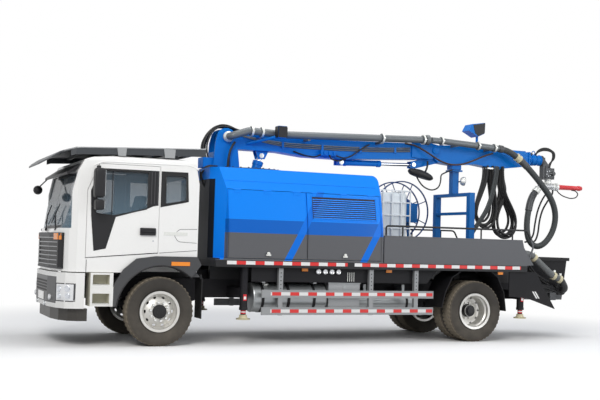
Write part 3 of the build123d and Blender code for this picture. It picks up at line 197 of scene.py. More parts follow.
finishes = {
    "boom": finishOf("boomPaint", (0.0, 0.165, 0.60), 0.40, dust=0.0, mottle=0.04, gloss=0.18),
    "reelBlue": finishOf("reelPaint", (0.0, 0.045, 0.20), 0.42, dust=0.0, gloss=0.3),
    "standBlue": finishOf("standPaint", (0.0, 0.130, 0.44), 0.40, dust=0.0, mottle=0.05, gloss=0.2),
    "box": finishOf("enclosurePaint", (0.0, 0.225, 0.88), 0.36, coat=0.05, dust=0.0, mottle=0.02, gloss=0.2),
    "cab": finishOf("cabPaint", (0.88, 0.88, 0.87), 0.28, coat=0.4, dust=0.12, mottle=0.015),
    "canopy": finishOf("canopyPaint", (0.048, 0.053, 0.060), 0.42, dust=0, mottle=0.06, gloss=0.35),
    "deckPanel": finishOf("deckPanelPaint", (0.105, 0.108, 0.118), 0.45, dust=0.05, mottle=0.05, gloss=0.35),
    "flare": finishOf("flarePlastic", (0.068, 0.070, 0.074), 0.55, dust=0.2, bump=0.15, grain=220, gloss=0.3),
    "black": finishOf("blackSteel", (0.007, 0.007, 0.009), 0.5, dust=0.06, bump=0.1, grain=90, gloss=0.25),
    "chassis": finishOf("chassisPaint", (0.008, 0.008, 0.011), 0.55, dust=0.10, bump=0.15, grain=70,
                        gloss=0.2),
    "plastic": finishOf("blackPlastic", (0.014, 0.014, 0.016), 0.45, dust=0.05, bump=0.1, grain=260,
                        gloss=0.3),
    "pipe": finishOf("pipePaint", (0.13, 0.145, 0.155), 0.40, metallic=0.25, dust=0.05, mottle=0.08,
                     bump=0.08),
    "clamp": finishOf("clampSteel", (0.72, 0.73, 0.70), 0.38, metallic=0.5, dust=0.05, mottle=0.12),
    "steel": finishOf("brightSteel", (0.60, 0.62, 0.64), 0.30, metallic=0.9, dust=0.08, mottle=0.1),
    "cage": finishOf("galvanisedBars", (0.52, 0.55, 0.58), 0.42, metallic=0.4, dust=0.05, mottle=0.12),
    "chrome": finishOf("chromeRod", (0.62, 0.64, 0.68), 0.14, metallic=1.0, dust=0, mottle=0.03),
    "rim": finishOf("rimPaint", (0.62, 0.61, 0.58), 0.36, metallic=0.75, dust=0.12, mottle=0.10, bump=0.08),
    "rubber": finishOf("hoseRubber", (0.012, 0.012, 0.013), 0.5, dust=0.03, bump=0.2, grain=120, gloss=0.35),
    "delivery": finishOf("deliveryRubber", (0.050, 0.056, 0.058), 0.55, dust=0.03, bump=0.15, grain=90,
                         gloss=0.35),
    "tote": finishOf("toteShell", (0.74, 0.80, 0.84), 0.35, dust=0, mottle=0.03),
    "red": finishOf("redNozzle", (0.64, 0.010, 0.018), 0.38, dust=0.02, coat=0.3),
    "cabin": finishOf("cabinTrim", (0.045, 0.045, 0.05), 0.6, dust=0, bump=0.2, grain=300),
    "iron": finishOf("castIron", (0.020, 0.020, 0.022), 0.6, dust=0.15, bump=0.3, grain=40, gloss=0.25),
    "tank": finishOf("fuelTank", (0.36, 0.38, 0.39), 0.34, metallic=0.7, dust=0.25, mottle=0.08),
    "lampWhite": finishOf("lampWhite", (0.75, 0.76, 0.78), 0.2, metallic=0.5, dust=0.1),
    "orange": finishOf("amberLens", (0.90, 0.26, 0.01), 0.25, dust=0.0, coat=0.4),
    "redLens": finishOf("redLens", (0.5, 0.01, 0.01), 0.2, dust=0.1, coat=0.6),
    "bumper": finishOf("bumperPaint", (0.86, 0.86, 0.85), 0.38, dust=0.2, mottle=0.02, gloss=0.3),
    "steps": finishOf("flareAndSteps", (0.062, 0.064, 0.068), 0.55, dust=0.25, bump=0.12, grain=220,
                      gloss=0.3),
    "mirrorGlass": finishOf("mirrorSilver", (0.75, 0.78, 0.80), 0.04, metallic=1.0, dust=0, mottle=0.01),
    "skirt": finishOf("skirtPaint", (0.008, 0.008, 0.010), 0.5, dust=0.08, mottle=0.08, bump=0.1, grain=90,
                      gloss=0.2),
    "guard": finishOf("guardGrey", (0.34, 0.35, 0.36), 0.42, metallic=0.45, dust=0.15, mottle=0.1, bump=0.1),
    "brown": finishOf("brownHose", (0.060, 0.036, 0.026), 0.6, dust=0.02, bump=0.2, grain=150, gloss=0.3),
    "cream": finishOf("creamFeet", (0.66, 0.60, 0.40), 0.5, dust=0.1, mottle=0.1),
    "nut": finishOf("nutSteel", (0.82, 0.83, 0.82), 0.25, metallic=0.8, dust=0, mottle=0.05),
    "gear": finishOf("gearboxGrey", (0.075, 0.078, 0.082), 0.45, metallic=0.3, dust=0, mottle=0.1, gloss=0.4),
}

# The enclosure: grey below, deep blue above it, and two blue stripes that lean aft with height across the
# grey. A stripe is where |a - start - lean (z - foot)| < half. The face behind the cab carries painted shade:
# nearly black, for the shadow that falls on that wall.
enclosureBands = {"side": 1.09, "frontEnds": 0.965, "greyTop": 1.772, "deepTop": 1.985,
                  "starts": (2.045, 3.405),
                  "foot": 1.33, "lean": 0.535, "half": 0.066, "face": 0.902, "paintedShadeTop": 2.62,
                  "deepBlue": (0.0, 0.115, 0.52), "grey": (0.115, 0.118, 0.128), "stripe": (0.0, 0.165, 0.74),
                  "paintedFaceShade": (0.008, 0.010, 0.014)}
calc, x, y, z = coordinates(finishes["box"])
onSide = allOf(calc, calc("GREATER_THAN", calc("ABSOLUTE", y), enclosureBands["side"]),
               calc("LESS_THAN", x, aft(enclosureBands["frontEnds"])))
grey = allOf(calc, calc("LESS_THAN", z, enclosureBands["greyTop"]), onSide)
deep = allOf(calc, calc("LESS_THAN", z, enclosureBands["deepTop"]), onSide)
stripes = []
for start in enclosureBands["starts"]:
    reach = calc("MULTIPLY_ADD", z, enclosureBands["lean"],
                 start - enclosureBands["lean"] * enclosureBands["foot"])
    off = calc("ADD", calc("SUBTRACT", x, frontAxle), reach)
    stripes.append(calc("LESS_THAN", calc("ABSOLUTE", off), enclosureBands["half"]))
stripe = allOf(calc, calc("ADD", *stripes), onSide)
# painted shade: the enclosure's front wall behind the cab, made nearly black for the shadow on it
face = allOf(calc, calc("GREATER_THAN", x, aft(enclosureBands["face"])),
             calc("LESS_THAN", z, enclosureBands["paintedShadeTop"]))
layered(finishes["box"], [(deep, enclosureBands["deepBlue"]), (grey, enclosureBands["grey"]),
                          (stripe, enclosureBands["stripe"]), (face, enclosureBands["paintedFaceShade"])])

# The deck: grey side panels on a black bed, with a black top rail.
deckBands = {"inner": 1.188, "bedTop": 1.338, "railFoot": 1.802, "insideTone": (0.04, 0.04, 0.045),
             "bedTone": (0.007, 0.007, 0.009), "railTone": (0.010, 0.010, 0.012)}
calc, x, y, z = coordinates(finishes["deckPanel"])
layered(finishes["deckPanel"], [
    (calc("LESS_THAN", calc("ABSOLUTE", y), deckBands["inner"]), deckBands["insideTone"]),
    (calc("LESS_THAN", z, deckBands["bedTop"]), deckBands["bedTone"]),
    (calc("GREATER_THAN", z, deckBands["railFoot"]), deckBands["railTone"])])

windowGlass = {"roughness": 0.03, "alpha": 0.42, "low": 1.8, "high": 2.65, "lowTone": (0.16, 0.27, 0.36, 1),
               "highTone": (0.03, 0.055, 0.08, 1)}


# See-through glass whose tone darkens with height.
def glassFinish():
    made = bpy.data.materials.new("windowGlass")
    made.use_nodes = True
    nodes, links = made.node_tree.nodes, made.node_tree.links
    shader = nodes["Principled BSDF"]
    shader.inputs["Roughness"].default_value = windowGlass["roughness"]
    shader.inputs["Alpha"].default_value = windowGlass["alpha"]
    place, x, y, z = objectPlace(nodes, links)
    ramp = nodes.new("ShaderNodeValToRGB")
    ramp.color_ramp.elements[0].color = windowGlass["lowTone"]
    ramp.color_ramp.elements[1].color = windowGlass["highTone"]
    links.new(rangeNode(nodes, links, z, (windowGlass["low"], windowGlass["high"])), ramp.inputs[0])
    links.new(ramp.outputs[0], shader.inputs["Base Color"])
    return made


tape = {"repeat": 0.315, "phaseAt": 2.3535, "white": (0.80, 0.80, 0.80), "red": (0.72, 0.012, 0.012)}


# White and red blocks along x: red where the fraction of (x - phaseAt) / repeat is above a half.
def tapeFinish():
    made = finishOf("reflectiveTape", tape["white"], 0.3, dust=0.2, mottle=0.05, coat=0.3)
    calc, x, y, z = coordinates(made)
    phase = calc("FRACT", calc("MULTIPLY", calc("ADD", x, -tape["phaseAt"]), 1 / tape["repeat"]))
    layered(made, [(calc("GREATER_THAN", phase, 0.5), tape["red"])])
    return made


# Silver swivel and inlet ahead, red nozzle behind.
def sprayFinish(redFrom=8.296):
    made = finishOf("sprayHead", (0.55, 0.56, 0.57), 0.34, metallic=0.3, dust=0, mottle=0.08)
    calc, x, y, z = coordinates(made)
    layered(made, [(calc("LESS_THAN", x, aft(redFrom)), (0.64, 0.010, 0.018))])
    return made


# Black hopper and cylinders, with a grey outlet boss below on the left.
def pumpFinish(outletTop=0.935, outletFrom=0.40):
    made = finishOf("pumpPaint", (0.010, 0.010, 0.012), 0.5, dust=0.12, mottle=0.08, bump=0.1, gloss=0.25)
    calc, x, y, z = coordinates(made)
    outlet = allOf(calc, calc("LESS_THAN", z, outletTop), calc("GREATER_THAN", y, outletFrom))
    layered(made, [(outlet, (0.12, 0.125, 0.13))])
    return made


# Grey rubber pipe that ends in a black elbow.
def tailPipeFinish(blackFrom=7.74):
    made = finishOf("tailPipe", (0.115, 0.122, 0.125), 0.45, metallic=0.1, dust=0.05, mottle=0.1, bump=0.1)
    calc, x, y, z = coordinates(made)
    layered(made, [(calc("LESS_THAN", x, aft(blackFrom)), (0.014, 0.014, 0.016))])
    return made


finishes["glass"] = glassFinish()
finishes["tape"] = tapeFinish()
finishes["tailPipe"] = tailPipeFinish()
finishes["spray"] = sprayFinish()
finishes["pump"] = pumpFinish()
print("materials ready", len(finishes))

# The solids' finishes: each finish with the nodes that wear it.
cadFinish = {
    "chassis": ["chassis_frame", "front_axle", "rear_axle"],
    "iron": ["engine_and_power_pack"],
    "cab": ["cab_shell", "cab_door_left", "cab_door_right"],
    "bumper": ["bumper"],
    "glass": ["cab_glass", "door_glass_left", "door_glass_right"],
    "cabin": ["cab_interior"],
    "plastic": ["nose_trim", "mirror_left", "mirror_right"],
    "steps": ["arches_and_steps"],
    "canopy": ["roof_canopy"],
    "tank": ["chassis_tanks"],
    "deckPanel": ["deck"],
    "box": ["enclosure", "service_door_front_left", "service_door_front_right", "service_door_rear_left",
            "service_door_rear_right"],
    "tote": ["liquid_tank"],
    "cage": ["tank_cage"],
    "boom": ["turret", "lift_barrel", "main_boom", "fold_barrel", "second_arm", "inner_arm"],
    "standBlue": ["deck_stands"],
    "reelBlue": ["hose_reel"],
    "chrome": ["lift_rod", "fold_rod"],
    "pump": ["concrete_pump"],
    "spray": ["nozzle"],
    "tailPipe": ["pump_pipe"],
    "pipe": ["boom_pipe", "arm_pipe"],
    "skirt": ["guards_and_skirts"],
    "black": ["jack_front_left", "jack_front_right", "jack_rear_left", "jack_rear_right", "knuckle_left",
              "knuckle_right"],
    "gear": ["head"],
    "rim": ["front_rim_left", "front_rim_right", "rear_rims_left", "rear_rims_right"],
    "rubber": ["front_tyre_left", "front_tyre_right", "rear_tyres_left", "rear_tyres_right",
               "arm_hoses_front", "arm_hoses_rear"],
    "delivery": ["delivery_hose"],
}
for finishName, names in cadFinish.items():
    for name in names:
        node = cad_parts[name]
        node.data.materials.clear()
        node.data.materials.append(finishes[finishName])

made = {}
boxFaces = [(0, 1, 3, 2), (4, 6, 7, 5), (0, 4, 5, 1), (2, 3, 7, 6), (0, 2, 6, 4), (1, 5, 7, 3)]


# A mesh object on its body. Doubled points are merged, and every face looks outwards. A body given as a name
# carries the piece; any other body, such as both names and two places for a piece that spans a joint, is not
# used, and the piece is left on no body with its placing applied.
def meshPiece(name, vertices, faces, finish, body, smooth=False, creaseAngle=35):
    data = bpy.data.meshes.new(name)
    data.from_pydata(vertices.tolist(), [], faces)
    sheet = bmesh.new()
    sheet.from_mesh(data)
    bmesh.ops.remove_doubles(sheet, verts=sheet.verts, dist=1e-6)
    bmesh.ops.dissolve_degenerate(sheet, edges=sheet.edges, dist=1e-6)
    bmesh.ops.recalc_face_normals(sheet, faces=sheet.faces)
    sheet.to_mesh(data)
    sheet.free()
    piece = bpy.data.objects.new(name, data)
    bpy.context.scene.collection.objects.link(piece)
    data.materials.append(finishes[finish])
    if smooth:
        data.shade_smooth()
        data.set_sharp_from_angle(angle=math.radians(creaseAngle))
    if isinstance(body, str):
        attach(piece, body)
    else:
        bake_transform(piece)
    made[name] = piece
    return piece


# One piece of several parts. A part is its points, and its faces counted from its own first point.
def joined(name, parts, finish, body, smooth=False):
    starts = np.cumsum([0] + [len(points) for points, loops in parts]).tolist()
    vertices = np.vstack([np.asarray(points, float) for points, loops in parts])
    faces = [tuple(i + start for i in loop) for start, (points, loops) in zip(starts,
                                                                              parts) for loop in loops]
    return meshPiece(name, vertices, faces, finish, body, smooth)


# A box from the two limits of each coordinate.
def boxPart(x, y, z):
    corners = np.meshgrid(sorted(x), sorted(y), sorted(z), indexing="ij")
    return np.stack(corners, -1).reshape(-1, 3), boxFaces


# Quads between the rows of a grid, closed round its columns, with a cap on the first and the last row.
def ringFaces(rows, columns):
    index = np.arange(rows * columns).reshape(rows, columns)
    ahead = np.roll(index, -1, axis=1)
    quads = np.stack([index[:-1], ahead[:-1], ahead[1:], index[1:]], -1).reshape(-1, 4)
    return [tuple(q) for q in quads.tolist()] + [tuple(index[0, ::-1].tolist()), tuple(index[-1].tolist())]


# Quads of an open grid.
def gridFaces(rows, columns):
    index = np.arange(rows * columns).reshape(rows, columns)
    quads = np.stack([index[:-1, :-1], index[:-1, 1:], index[1:, 1:], index[1:, :-1]], -1).reshape(-1, 4)
    return [tuple(q) for q in quads.tolist()]


# A block between two loops of equal length: a face on each loop and a quad along each side.
def prismPart(near, far):
    return np.vstack([near, far]), ringFaces(2, len(near))


# Two unit directions across an axis and the axis itself.
def crossFrame(axis):
    axis = Vector(axis).normalized()
    first = axis.orthogonal().normalized()
    return first, axis.cross(first), axis


# A profile of (radius r, distance d) turned about an axis: centre + d axis + r (first cos t + second sin t).
def turnedPart(profile, centre, axis, segments=32):
    first, second, axis = crossFrame(axis)
    radius, along = np.array(profile, float).T
    turn = 2 * np.pi * np.arange(segments) / segments
    ring = np.outer(np.cos(turn), first) + np.outer(np.sin(turn), second)
    points = np.array(centre) + along[:, None, None] * np.array(axis) + radius[:, None, None] * ring
    return points.reshape(-1, 3), ringFaces(len(profile), segments)


# Each corner of a route becomes a quadratic bow that leaves its straight runs at bend metres or less.
def smoothRoute(route, bend=None):
    route = np.array([tuple(p) for p in route], float)
    if len(route) < 3:
        return route
    corner = route[1:-1]
    back, ahead = route[:-2] - corner, route[2:] - corner
    backRun, aheadRun = (np.linalg.norm(run, axis=1)[:, None] for run in (back, ahead))
    room = np.minimum(backRun, aheadRun) * 0.49
    room = np.minimum(room, bend) if bend else room
    into, away = corner + back / backRun * room, corner + ahead / aheadRun * room
    t = np.linspace(0, 1, 7)[None, :, None]
    bow = (1 - t) ** 2 * into[:, None] + 2 * t * (1 - t) * corner[:, None] + t ** 2 * away[:, None]
    return np.vstack([route[:1], bow.reshape(-1, 3), route[-1:]])


# A circle carried along a line. Its side direction is the line's run crossed with the way it varies least.
def tubeAlong(curve, radius, segments=12):
    ahead = np.gradient(curve, axis=0)
    ahead /= np.linalg.norm(ahead, axis=1)[:, None]
    across = np.linalg.svd(curve - curve.mean(axis=0))[2][-1]
    side = np.cross(ahead, across)
    side /= np.linalg.norm(side, axis=1)[:, None]
    up = np.cross(ahead, side)
    turn = 2 * np.pi * np.arange(segments) / segments
    radius = np.broadcast_to(radius, len(curve))[:, None, None]
    ring = side[:, None] * np.cos(turn)[None, :, None] + up[:, None] * np.sin(turn)[None, :, None]
    return (curve[:, None] + radius * ring).reshape(-1, 3), ringFaces(len(curve), segments)


# A round tube: circles of one radius about the points of a smoothed route.
def tubePart(route, radius, segments=12, bend=None):
    return tubeAlong(smoothRoute(route, bend), radius, segments)


# A rounded block: sine and cosine of two angles, each raised to a power below one.
def roundedBlock(centre, half, power=0.32, rows=20, columns=32):
    # the sign of v times its size to the power
    def eased(v):
        return np.sign(v) * np.abs(v) ** power
    tilt = np.linspace(-np.pi / 2, np.pi / 2, rows + 1)[1:-1, None]
    turn = 2 * np.pi * np.arange(columns)[None, :] / columns
    x, y = eased(np.cos(tilt)) * eased(np.cos(turn)), eased(np.cos(tilt)) * eased(np.sin(turn))
    z = np.broadcast_to(eased(np.sin(tilt)), x.shape)
    points = np.array(centre) + np.stack([x, y, z], -1) * np.array(half)
    return points.reshape(-1, 3), ringFaces(rows - 1, columns)


# Hexagonal nuts spaced evenly on a circle about an axis, with a small chamfer on each.
def nutParts(centre, axis, radius, count, size, height):
    first, second, axis = crossFrame(axis)
    turn = 2 * np.pi * np.arange(count) / count
    places = np.array(centre) + radius * (np.outer(np.cos(turn), first) + np.outer(np.sin(turn), second))
    profile = [(size, 0), (size, height * 0.8), (size * 0.8, height)]
    return [turnedPart(profile, place, axis, 6) for place in places]


# Tyres, hubs and nuts. The wall and the crown are columns of the rim's radius or a ring's mark with the
# share of the width: a crown point marked 0 lies in a ring groove.
tyre = {"radius": 0.5275, "width": 0.285, "lugs": 44, "grooveDepth": 0.012, "gapDepth": 0.011,
        "gapShare": 0.30, "front": 1.015, "rear": (0.70, 1.02), "hub": 0.86,
        "wall": [(0.313, 0.30), (0.322, 0.345), (0.335, 0.40), (0.372, 0.462), (0.415, 0.492), (0.455, 0.496),
                 (0.490, 0.475), (0.505, 0.46), (0.516, 0.425)],
        "crown": [(-0.39, 1), (-0.27, 1), (-0.26, 0), (-0.22, 0), (-0.21, 1), (-0.03, 1), (-0.02, 0),
                  (0.02, 0), (0.03, 1), (0.21, 1), (0.22, 0), (0.26, 0), (0.27, 1), (0.39, 1)]}


# A tyre's radius is its outline's, less the groove's depth in the rings and the gap's between two lugs. The
# lugs lean with the distance w from the middle: phase = lugs x turn + 0.6 |w| / half width.
def tyrePart(centre, side):
    width, wall, crown, steps = tyre["width"], tyre["wall"], tyre["crown"], tyre["lugs"] * 4
    rim = [r for r, w in wall]
    radius = np.array(rim + [tyre["radius"]] * len(crown) + rim[::-1])[:, None]
    shares = [-w for r, w in wall] + [w for w, mark in crown] + [w for r, w in wall[::-1]]
    across = np.array(shares)[:, None] * width
    ring = np.array([-1] * len(wall) + [mark for w, mark in crown] + [-1] * len(wall))[:, None]
    step = np.arange(steps)[None, :]
    gap = (step / 4 + 0.6 * np.abs(across) / (width / 2)) % 1 > 1 - tyre["gapShare"]
    drop = np.where(ring == 0, tyre["grooveDepth"], 0.0)
    drop = np.where((ring >= 0) & gap & (np.abs(across) > 0.2 * width), tyre["gapDepth"], drop)
    drop = np.where((ring < 0) & gap & (radius > 0.5), tyre["gapDepth"], drop)
    turn = 2 * np.pi * step / steps
    points = np.stack([centre[0] + (radius - drop) * np.cos(turn), centre[1] + side * across + 0 * turn,
                       centre[2] + (radius - drop) * np.sin(turn)], -1)
    return points.reshape(-1, 3), ringFaces(len(radius), steps)[:-2]


# Dust lies on the tread and the shoulder, by the distance from the nearer axle's line.
def tyreFinish(shoulder=0.497, tread=0.5165):
    made = finishOf("tyreRubber", (0.044, 0.041, 0.038), 0.82, dust=0.45, mottle=0.14, bump=0.25, grain=60,
                    gloss=0.2)
    calc, x, y, z = coordinates(made)
    offAxle = calc("SUBTRACT", calc("ABSOLUTE", calc("SUBTRACT", x, frontAxle - wheelbase / 2)),
                   wheelbase / 2)
    high = calc("SUBTRACT", z, tyre["radius"])
    squares = [calc("POWER", calc("ABSOLUTE", length), 2) for length in (offAxle, high)]
    radial = calc("POWER", calc("ADD", *squares), 0.5)
    layered(made, [(calc("GREATER_THAN", radial, shoulder), (0.085, 0.075, 0.062)),
                   (calc("GREATER_THAN", radial, tread), (0.24, 0.205, 0.155))])
    return made


finishes["tyre"] = tyreFinish()
frontCap = [(0.108, 0.066), (0.108, 0.112), (0.098, 0.130), (0.050, 0.138), (0.0, 0.140)]
rearCap = [(0.112, 0.012), (0.112, 0.10), (0.100, 0.122), (0.064, 0.124), (0.064, 0.150), (0.0, 0.156)]
for sideName, side in trackSide.items():
    out = (0, side, 0)
    frontWheel, rearWheels = f"front_wheel_{sideName}", f"rear_wheels_{sideName}"
    hub = (aft(0), side * tyre["front"], tyre["radius"])
    front = joined(f"frontTyre_{sideName}", [tyrePart(hub, side)], "tyre", frontWheel, smooth=True)
    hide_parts(f"front_tyre_{sideName}")
    rear = joined(f"rearTyres_{sideName}", [tyrePart((aft(wheelbase), side * place, tyre["radius"]), side)
                                            for place in tyre["rear"]], "tyre", rearWheels, smooth=True)
    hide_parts(f"rear_tyres_{sideName}")
    joined(f"frontHub_{sideName}", [turnedPart(frontCap, hub, out, 28),
                                    *nutParts(Vector(hub) + Vector(out) * 0.138, out, 0.045, 6, 0.008,
                                              0.006)],
           "plastic", frontWheel, smooth=True)
    joined(f"frontNuts_{sideName}", nutParts(Vector(hub) + Vector(out) * 0.066, out, 0.142, 10, 0.021, 0.046),
           "nut", frontWheel)
    joined(f"rearHub_{sideName}", [turnedPart(rearCap, (aft(wheelbase), side * tyre["hub"], tyre["radius"]),
                                              out, 28)], "plastic", rearWheels, smooth=True)
print("tyres", len(made))

# The three cords. Columns are millimetres aft, y and z: straight runs that the hoses round off.
hoseRoutes = {
    "delivery_hose": (0.116, [
        (6640.3, 330, 3514.4), (6840, 330, 3505.1), (7130, 328, 3350), (7400, 320, 3140), (7680, 300, 2890),
        (7930, 270, 2640), (8065, 235, 2400), (8090, 200, 2150), (8020, 160, 1910), (7870, 120, 1730),
        (7700, 90, 1690), (7580, 60, 1810), (7545, 40, 2000), (7560, 20, 2200), (7600, 10, 2400),
        (7645, 0, 2570), (7720, 0, 2725), (7830, 0, 2840)]),
    "arm_hoses_front": (0.068, [
        (6560, 60, 3176.2), (6545, 60, 2930), (6460, 62, 2700), (6360, 66, 2470), (6335, 70, 2260),
        (6420, 75, 2090), (6570, 80, 2060), (6700, 80, 2170), (6750, 75, 2370), (6735, 70, 2620),
        (6685, 65, 2880), (6670, 60, 3159.3)]),
    "arm_hoses_rear": (0.068, [
        (6955, -75, 3166.6), (6965, -75, 2960), (7030, -75, 2770), (6995, -72, 2560), (6880, -65, 2370),
        (6815, -55, 2170), (6850, -45, 1970), (6990, -35, 1870), (7160, -20, 1910), (7245, 0, 2080),
        (7205, 15, 2270), (7090, 25, 2450), (6965, 30, 2640), (6890, 32, 2860), (6880, 30, 3156.5)]),
}


# An order-3 NURBS curve along a route: it starts and ends on it, and meets the middle of each run.
def routeCurve(name, route):
    curve = bpy.data.curves.new(name, "CURVE")
    curve.dimensions = "3D"
    curve.resolution_u = 10
    line = curve.splines.new("NURBS")
    line.points.add(len(route) - 1)
    for point, (a, b, c) in zip(line.points, route):
        point.co = (aft(a / 1000), b / 1000, c / 1000, 1)
    line.order_u = 3
    line.use_endpoint_u = True
    return curve


# A hose: a circle of half the diameter swept along the route's spline, with closed ends.
def hosePiece(name, diameter, route, finish, body):
    curve = routeCurve(name, route)
    curve.bevel_depth = diameter / 2
    curve.bevel_resolution = 4
    curve.use_fill_caps = True
    curve.materials.append(finishes[finish])
    hose = bpy.data.objects.new(name, curve)
    bpy.context.scene.collection.objects.link(hose)
    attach(hose, body)
    made[name] = hose
    return hose


# The length of that curve: a quadratic bow in each corner, from the middle of one run to that of the next.
def nurbsLength(route):
    points = np.array(route) / 1000
    middle = (points[1:] + points[:-1]) / 2
    start, end = middle[:-1].copy(), middle[1:].copy()
    start[0], end[-1] = points[0], points[-1]
    t = np.linspace(0, 1, 25)[:, None, None]
    bow = (1 - t) ** 2 * start + 2 * t * (1 - t) * points[1:-1] + t ** 2 * end
    return float(np.linalg.norm(np.diff(bow, axis=0), axis=-1).sum())


for name, (diameter, route) in hoseRoutes.items():
    label = "".join(word.capitalize() if i else word for i, word in enumerate(name.split("_")))
    hose = hosePiece(label, diameter, route, "delivery" if name == "delivery_hose" else "rubber",
                     "second_arm")
    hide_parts(name)
    start = route[0]
    length = nurbsLength(route)
    print(name, "length", round(length, 3))
print("cords", len(made))


# A plate in x and z with holes, from a level outwards. Outlines are in metres aft and height.
def sidePlate(outline, holes, level, thickness, side):
    loops = [np.array(loop) for loop in [outline, *holes]]
    flat = np.vstack(loops)
    count, start, walls = len(flat), 0, []
    near = np.stack([aft(flat[:, 0]), np.full(count, side * level), flat[:, 1]], -1)
    faces = tessellate_polygon([[Vector((aft(a), z, 0)) for a, z in loop] for loop in loops])
    for loop in loops:
        index = start + np.arange(len(loop))
        ahead = np.roll(index, -1)
        walls += np.stack([index, ahead, ahead + count, index + count], -1).tolist()
        start += len(loop)
    far = [tuple(i + count for i in face) for face in faces]
    return np.vstack([near, near + (0, side * thickness, 0)]), [*faces, *far, *walls]


# A bead round a closed outline that lies in x and z.
def loopTube(outline, level, radius, side, segments=8):
    points = [Vector((aft(a), side * level, z)) for a, z in outline]
    seam = (points[-1] + points[0]) / 2
    return tubePart([seam, *points, seam], radius, segments, bend=0.03)


# A tube whose route is in columns aft, y, z.
def aftTube(route, radius, segments=10, bend=0.08):
    return tubePart([(aft(a), b, c) for a, b, c in route], radius, segments, bend)


# A box whose first pair is in metres aft of the front axle.
def aftBox(a, y, z):
    return boxPart((aft(a[0]), aft(a[1])), y, z)


# The same trim on the left and the right. parts(side) gives the shapes, and body may hold {side}.
def both(name, parts, finish, body, smooth=False):
    for sideName, side in trackSide.items():
        joined(f"{name}_{sideName}", parts(side), finish, body.format(side=sideName), smooth)


# The cab's side: window outlines, their dark surrounds and the seams, on the skin's half width.
cabSkin = 1.1503
doorWindow = [(-1.040, 1.990), (-0.762, 1.964), (-0.500, 2.025), (-0.250, 2.088), (-0.250, 2.640),
              (-0.935, 2.640), (-1.040, 2.400)]
quarterWindow = [(0.020, 2.170), (0.330, 2.228), (0.359, 2.260), (0.352, 2.570), (0.320, 2.610),
                 (0.020, 2.610)]
both("doorSurround", lambda side: [sidePlate(
    [(-0.985, 2.668), (-0.085, 2.670), (-0.085, 2.142), (-0.168, 2.126), (-0.735, 1.945), (-0.871, 1.469),
     (-1.052, 1.430), (-1.105, 1.953), (-1.120, 2.330)], [doorWindow], cabSkin, 0.003, side)],
    "plastic", "cab_door_{side}")
both("quarterSurround", lambda side: [sidePlate(
    [(-0.052, 2.670), (0.372, 2.672), (0.395, 2.218), (0.345, 2.205), (-0.052, 2.118)], [quarterWindow],
    cabSkin, 0.003, side)], "plastic", "chassis")
both("doorSeal", lambda side: [loopTube(doorWindow, 1.152, 0.009, side)], "rubber", "cab_door_{side}", True)
both("quarterSeal", lambda side: [loopTube(quarterWindow, 1.152, 0.008, side)], "rubber", "chassis", True)
both("pillarRib", lambda side: [aftBox((a, a + 0.010), (side * 1.153, side * 1.158), (foot, 2.65))
                                for a, foot in ((-0.205, 2.160), (-0.155, 2.168), (-0.105, 2.176))],
     "cabin", "cab_door_{side}")
both("windowBar", lambda side: [aftBox((-0.80, -0.79), (side * 1.128, side * 1.140), (1.98, 2.63))],
     "rubber", "cab_door_{side}")


# A rounded cover, and a grip before it that starts and ends inside the cover.
def handleParts(side):
    grip = aftTube([(-0.335, side * 1.176, 1.742), (-0.330, side * 1.190, 1.742),
                    (-0.145, side * 1.190, 1.742), (-0.140, side * 1.176, 1.742)], 0.011, 10, 0.02)
    return [roundedBlock((aft(-0.2375), side * 1.166, 1.740), (0.121, 0.0165, 0.056), 0.14), grip]


both("doorHandle", handleParts, "plastic", "cab_door_{side}", True)
both("doorLock", lambda side: [turnedPart([(0.013, 0), (0.013, 0.006), (0.0, 0.007)],
                                          (aft(-0.150), side * cabSkin, 1.60), (0, side, 0), 16)],
     "steel", "cab_door_{side}", True)
# thin dark joints between the panels of the cab's side
both("sideSeams", lambda side: [
    aftTube([(-0.050, side * 1.1502, 1.4205), (0.545, side * 1.1502, 1.470)], 0.004, 6),
    aftTube([(-1.152, side * 1.149, 1.300), (-1.152, side * 1.149, 1.118)], 0.004, 6),
    aftTube([(0.190, side * 1.1502, 1.68), (0.240, side * 1.1502, 1.60), (0.545, side * 1.1502, 1.585)],
            0.0035, 6),
    aftTube([(0.185, side * 1.1502, 1.68), (0.240, side * 1.1502, 1.79), (0.545, side * 1.1502, 1.80)],
            0.0035, 6),
], "cabin", "chassis", True)
both("drip", lambda side: [aftTube([(-1.09, side * 1.146, 2.70), (-0.95, side * 1.149, 2.770),
                                    (0.42, side * 1.149, 2.782), (0.54, side * 1.147, 2.72)], 0.011, 8, 0.1)],
     "cab", "chassis", True)
# Trim strip behind the door.
both("sideStrip", lambda side: [aftBox((0.015, 0.390), (side * cabSkin, side * 1.1545), (1.695, 1.745))],
     "clamp", "chassis")

# The nose. Its plan turns from the front to the side in columns of metres aft and half width, and its lean
# back is given at three heights. A slat or a strip is set by its height and its distance out.
nose = {"plan": [(-1.560, 0.0), (-1.560, 0.450), (-1.500, 0.870), (-1.400, 1.055), (-1.290, 1.125),
                 (-1.130, 1.150)],
        "leanHeights": (1.69, 1.79, 2.62), "leans": (0.0, 0.070, 0.250),
        "slats": [1.205 + 0.067 * i for i in range(7)], "meshFoot": 1.19, "meshRise": 0.0168, "meshLines": 26,
        "wipers": (0.62, -0.12, -0.78)}


# The place on the plan at a half width, pushed out along the run's normal. Returns aft and y.
def nosePoint(y, out, tilt=0.0):
    a, w = np.array(nose["plan"]).T
    wide = np.abs(y)
    span = np.clip(np.searchsorted(w, wide) - 1, 0, len(w) - 2)
    runA, runW = np.diff(a)[span], np.diff(w)[span]
    size = np.hypot(runA, runW)
    place = a[span] + runA * (wide - w[span]) / runW - runW / size * out
    reach = wide + np.maximum(runA / size * out, 0)
    beyond = wide > w[-1]
    place, reach = np.where(beyond, a[-1], place), np.where(beyond, w[-1] + out, reach)
    return place + tilt, np.where(y >= 0, reach, -reach)


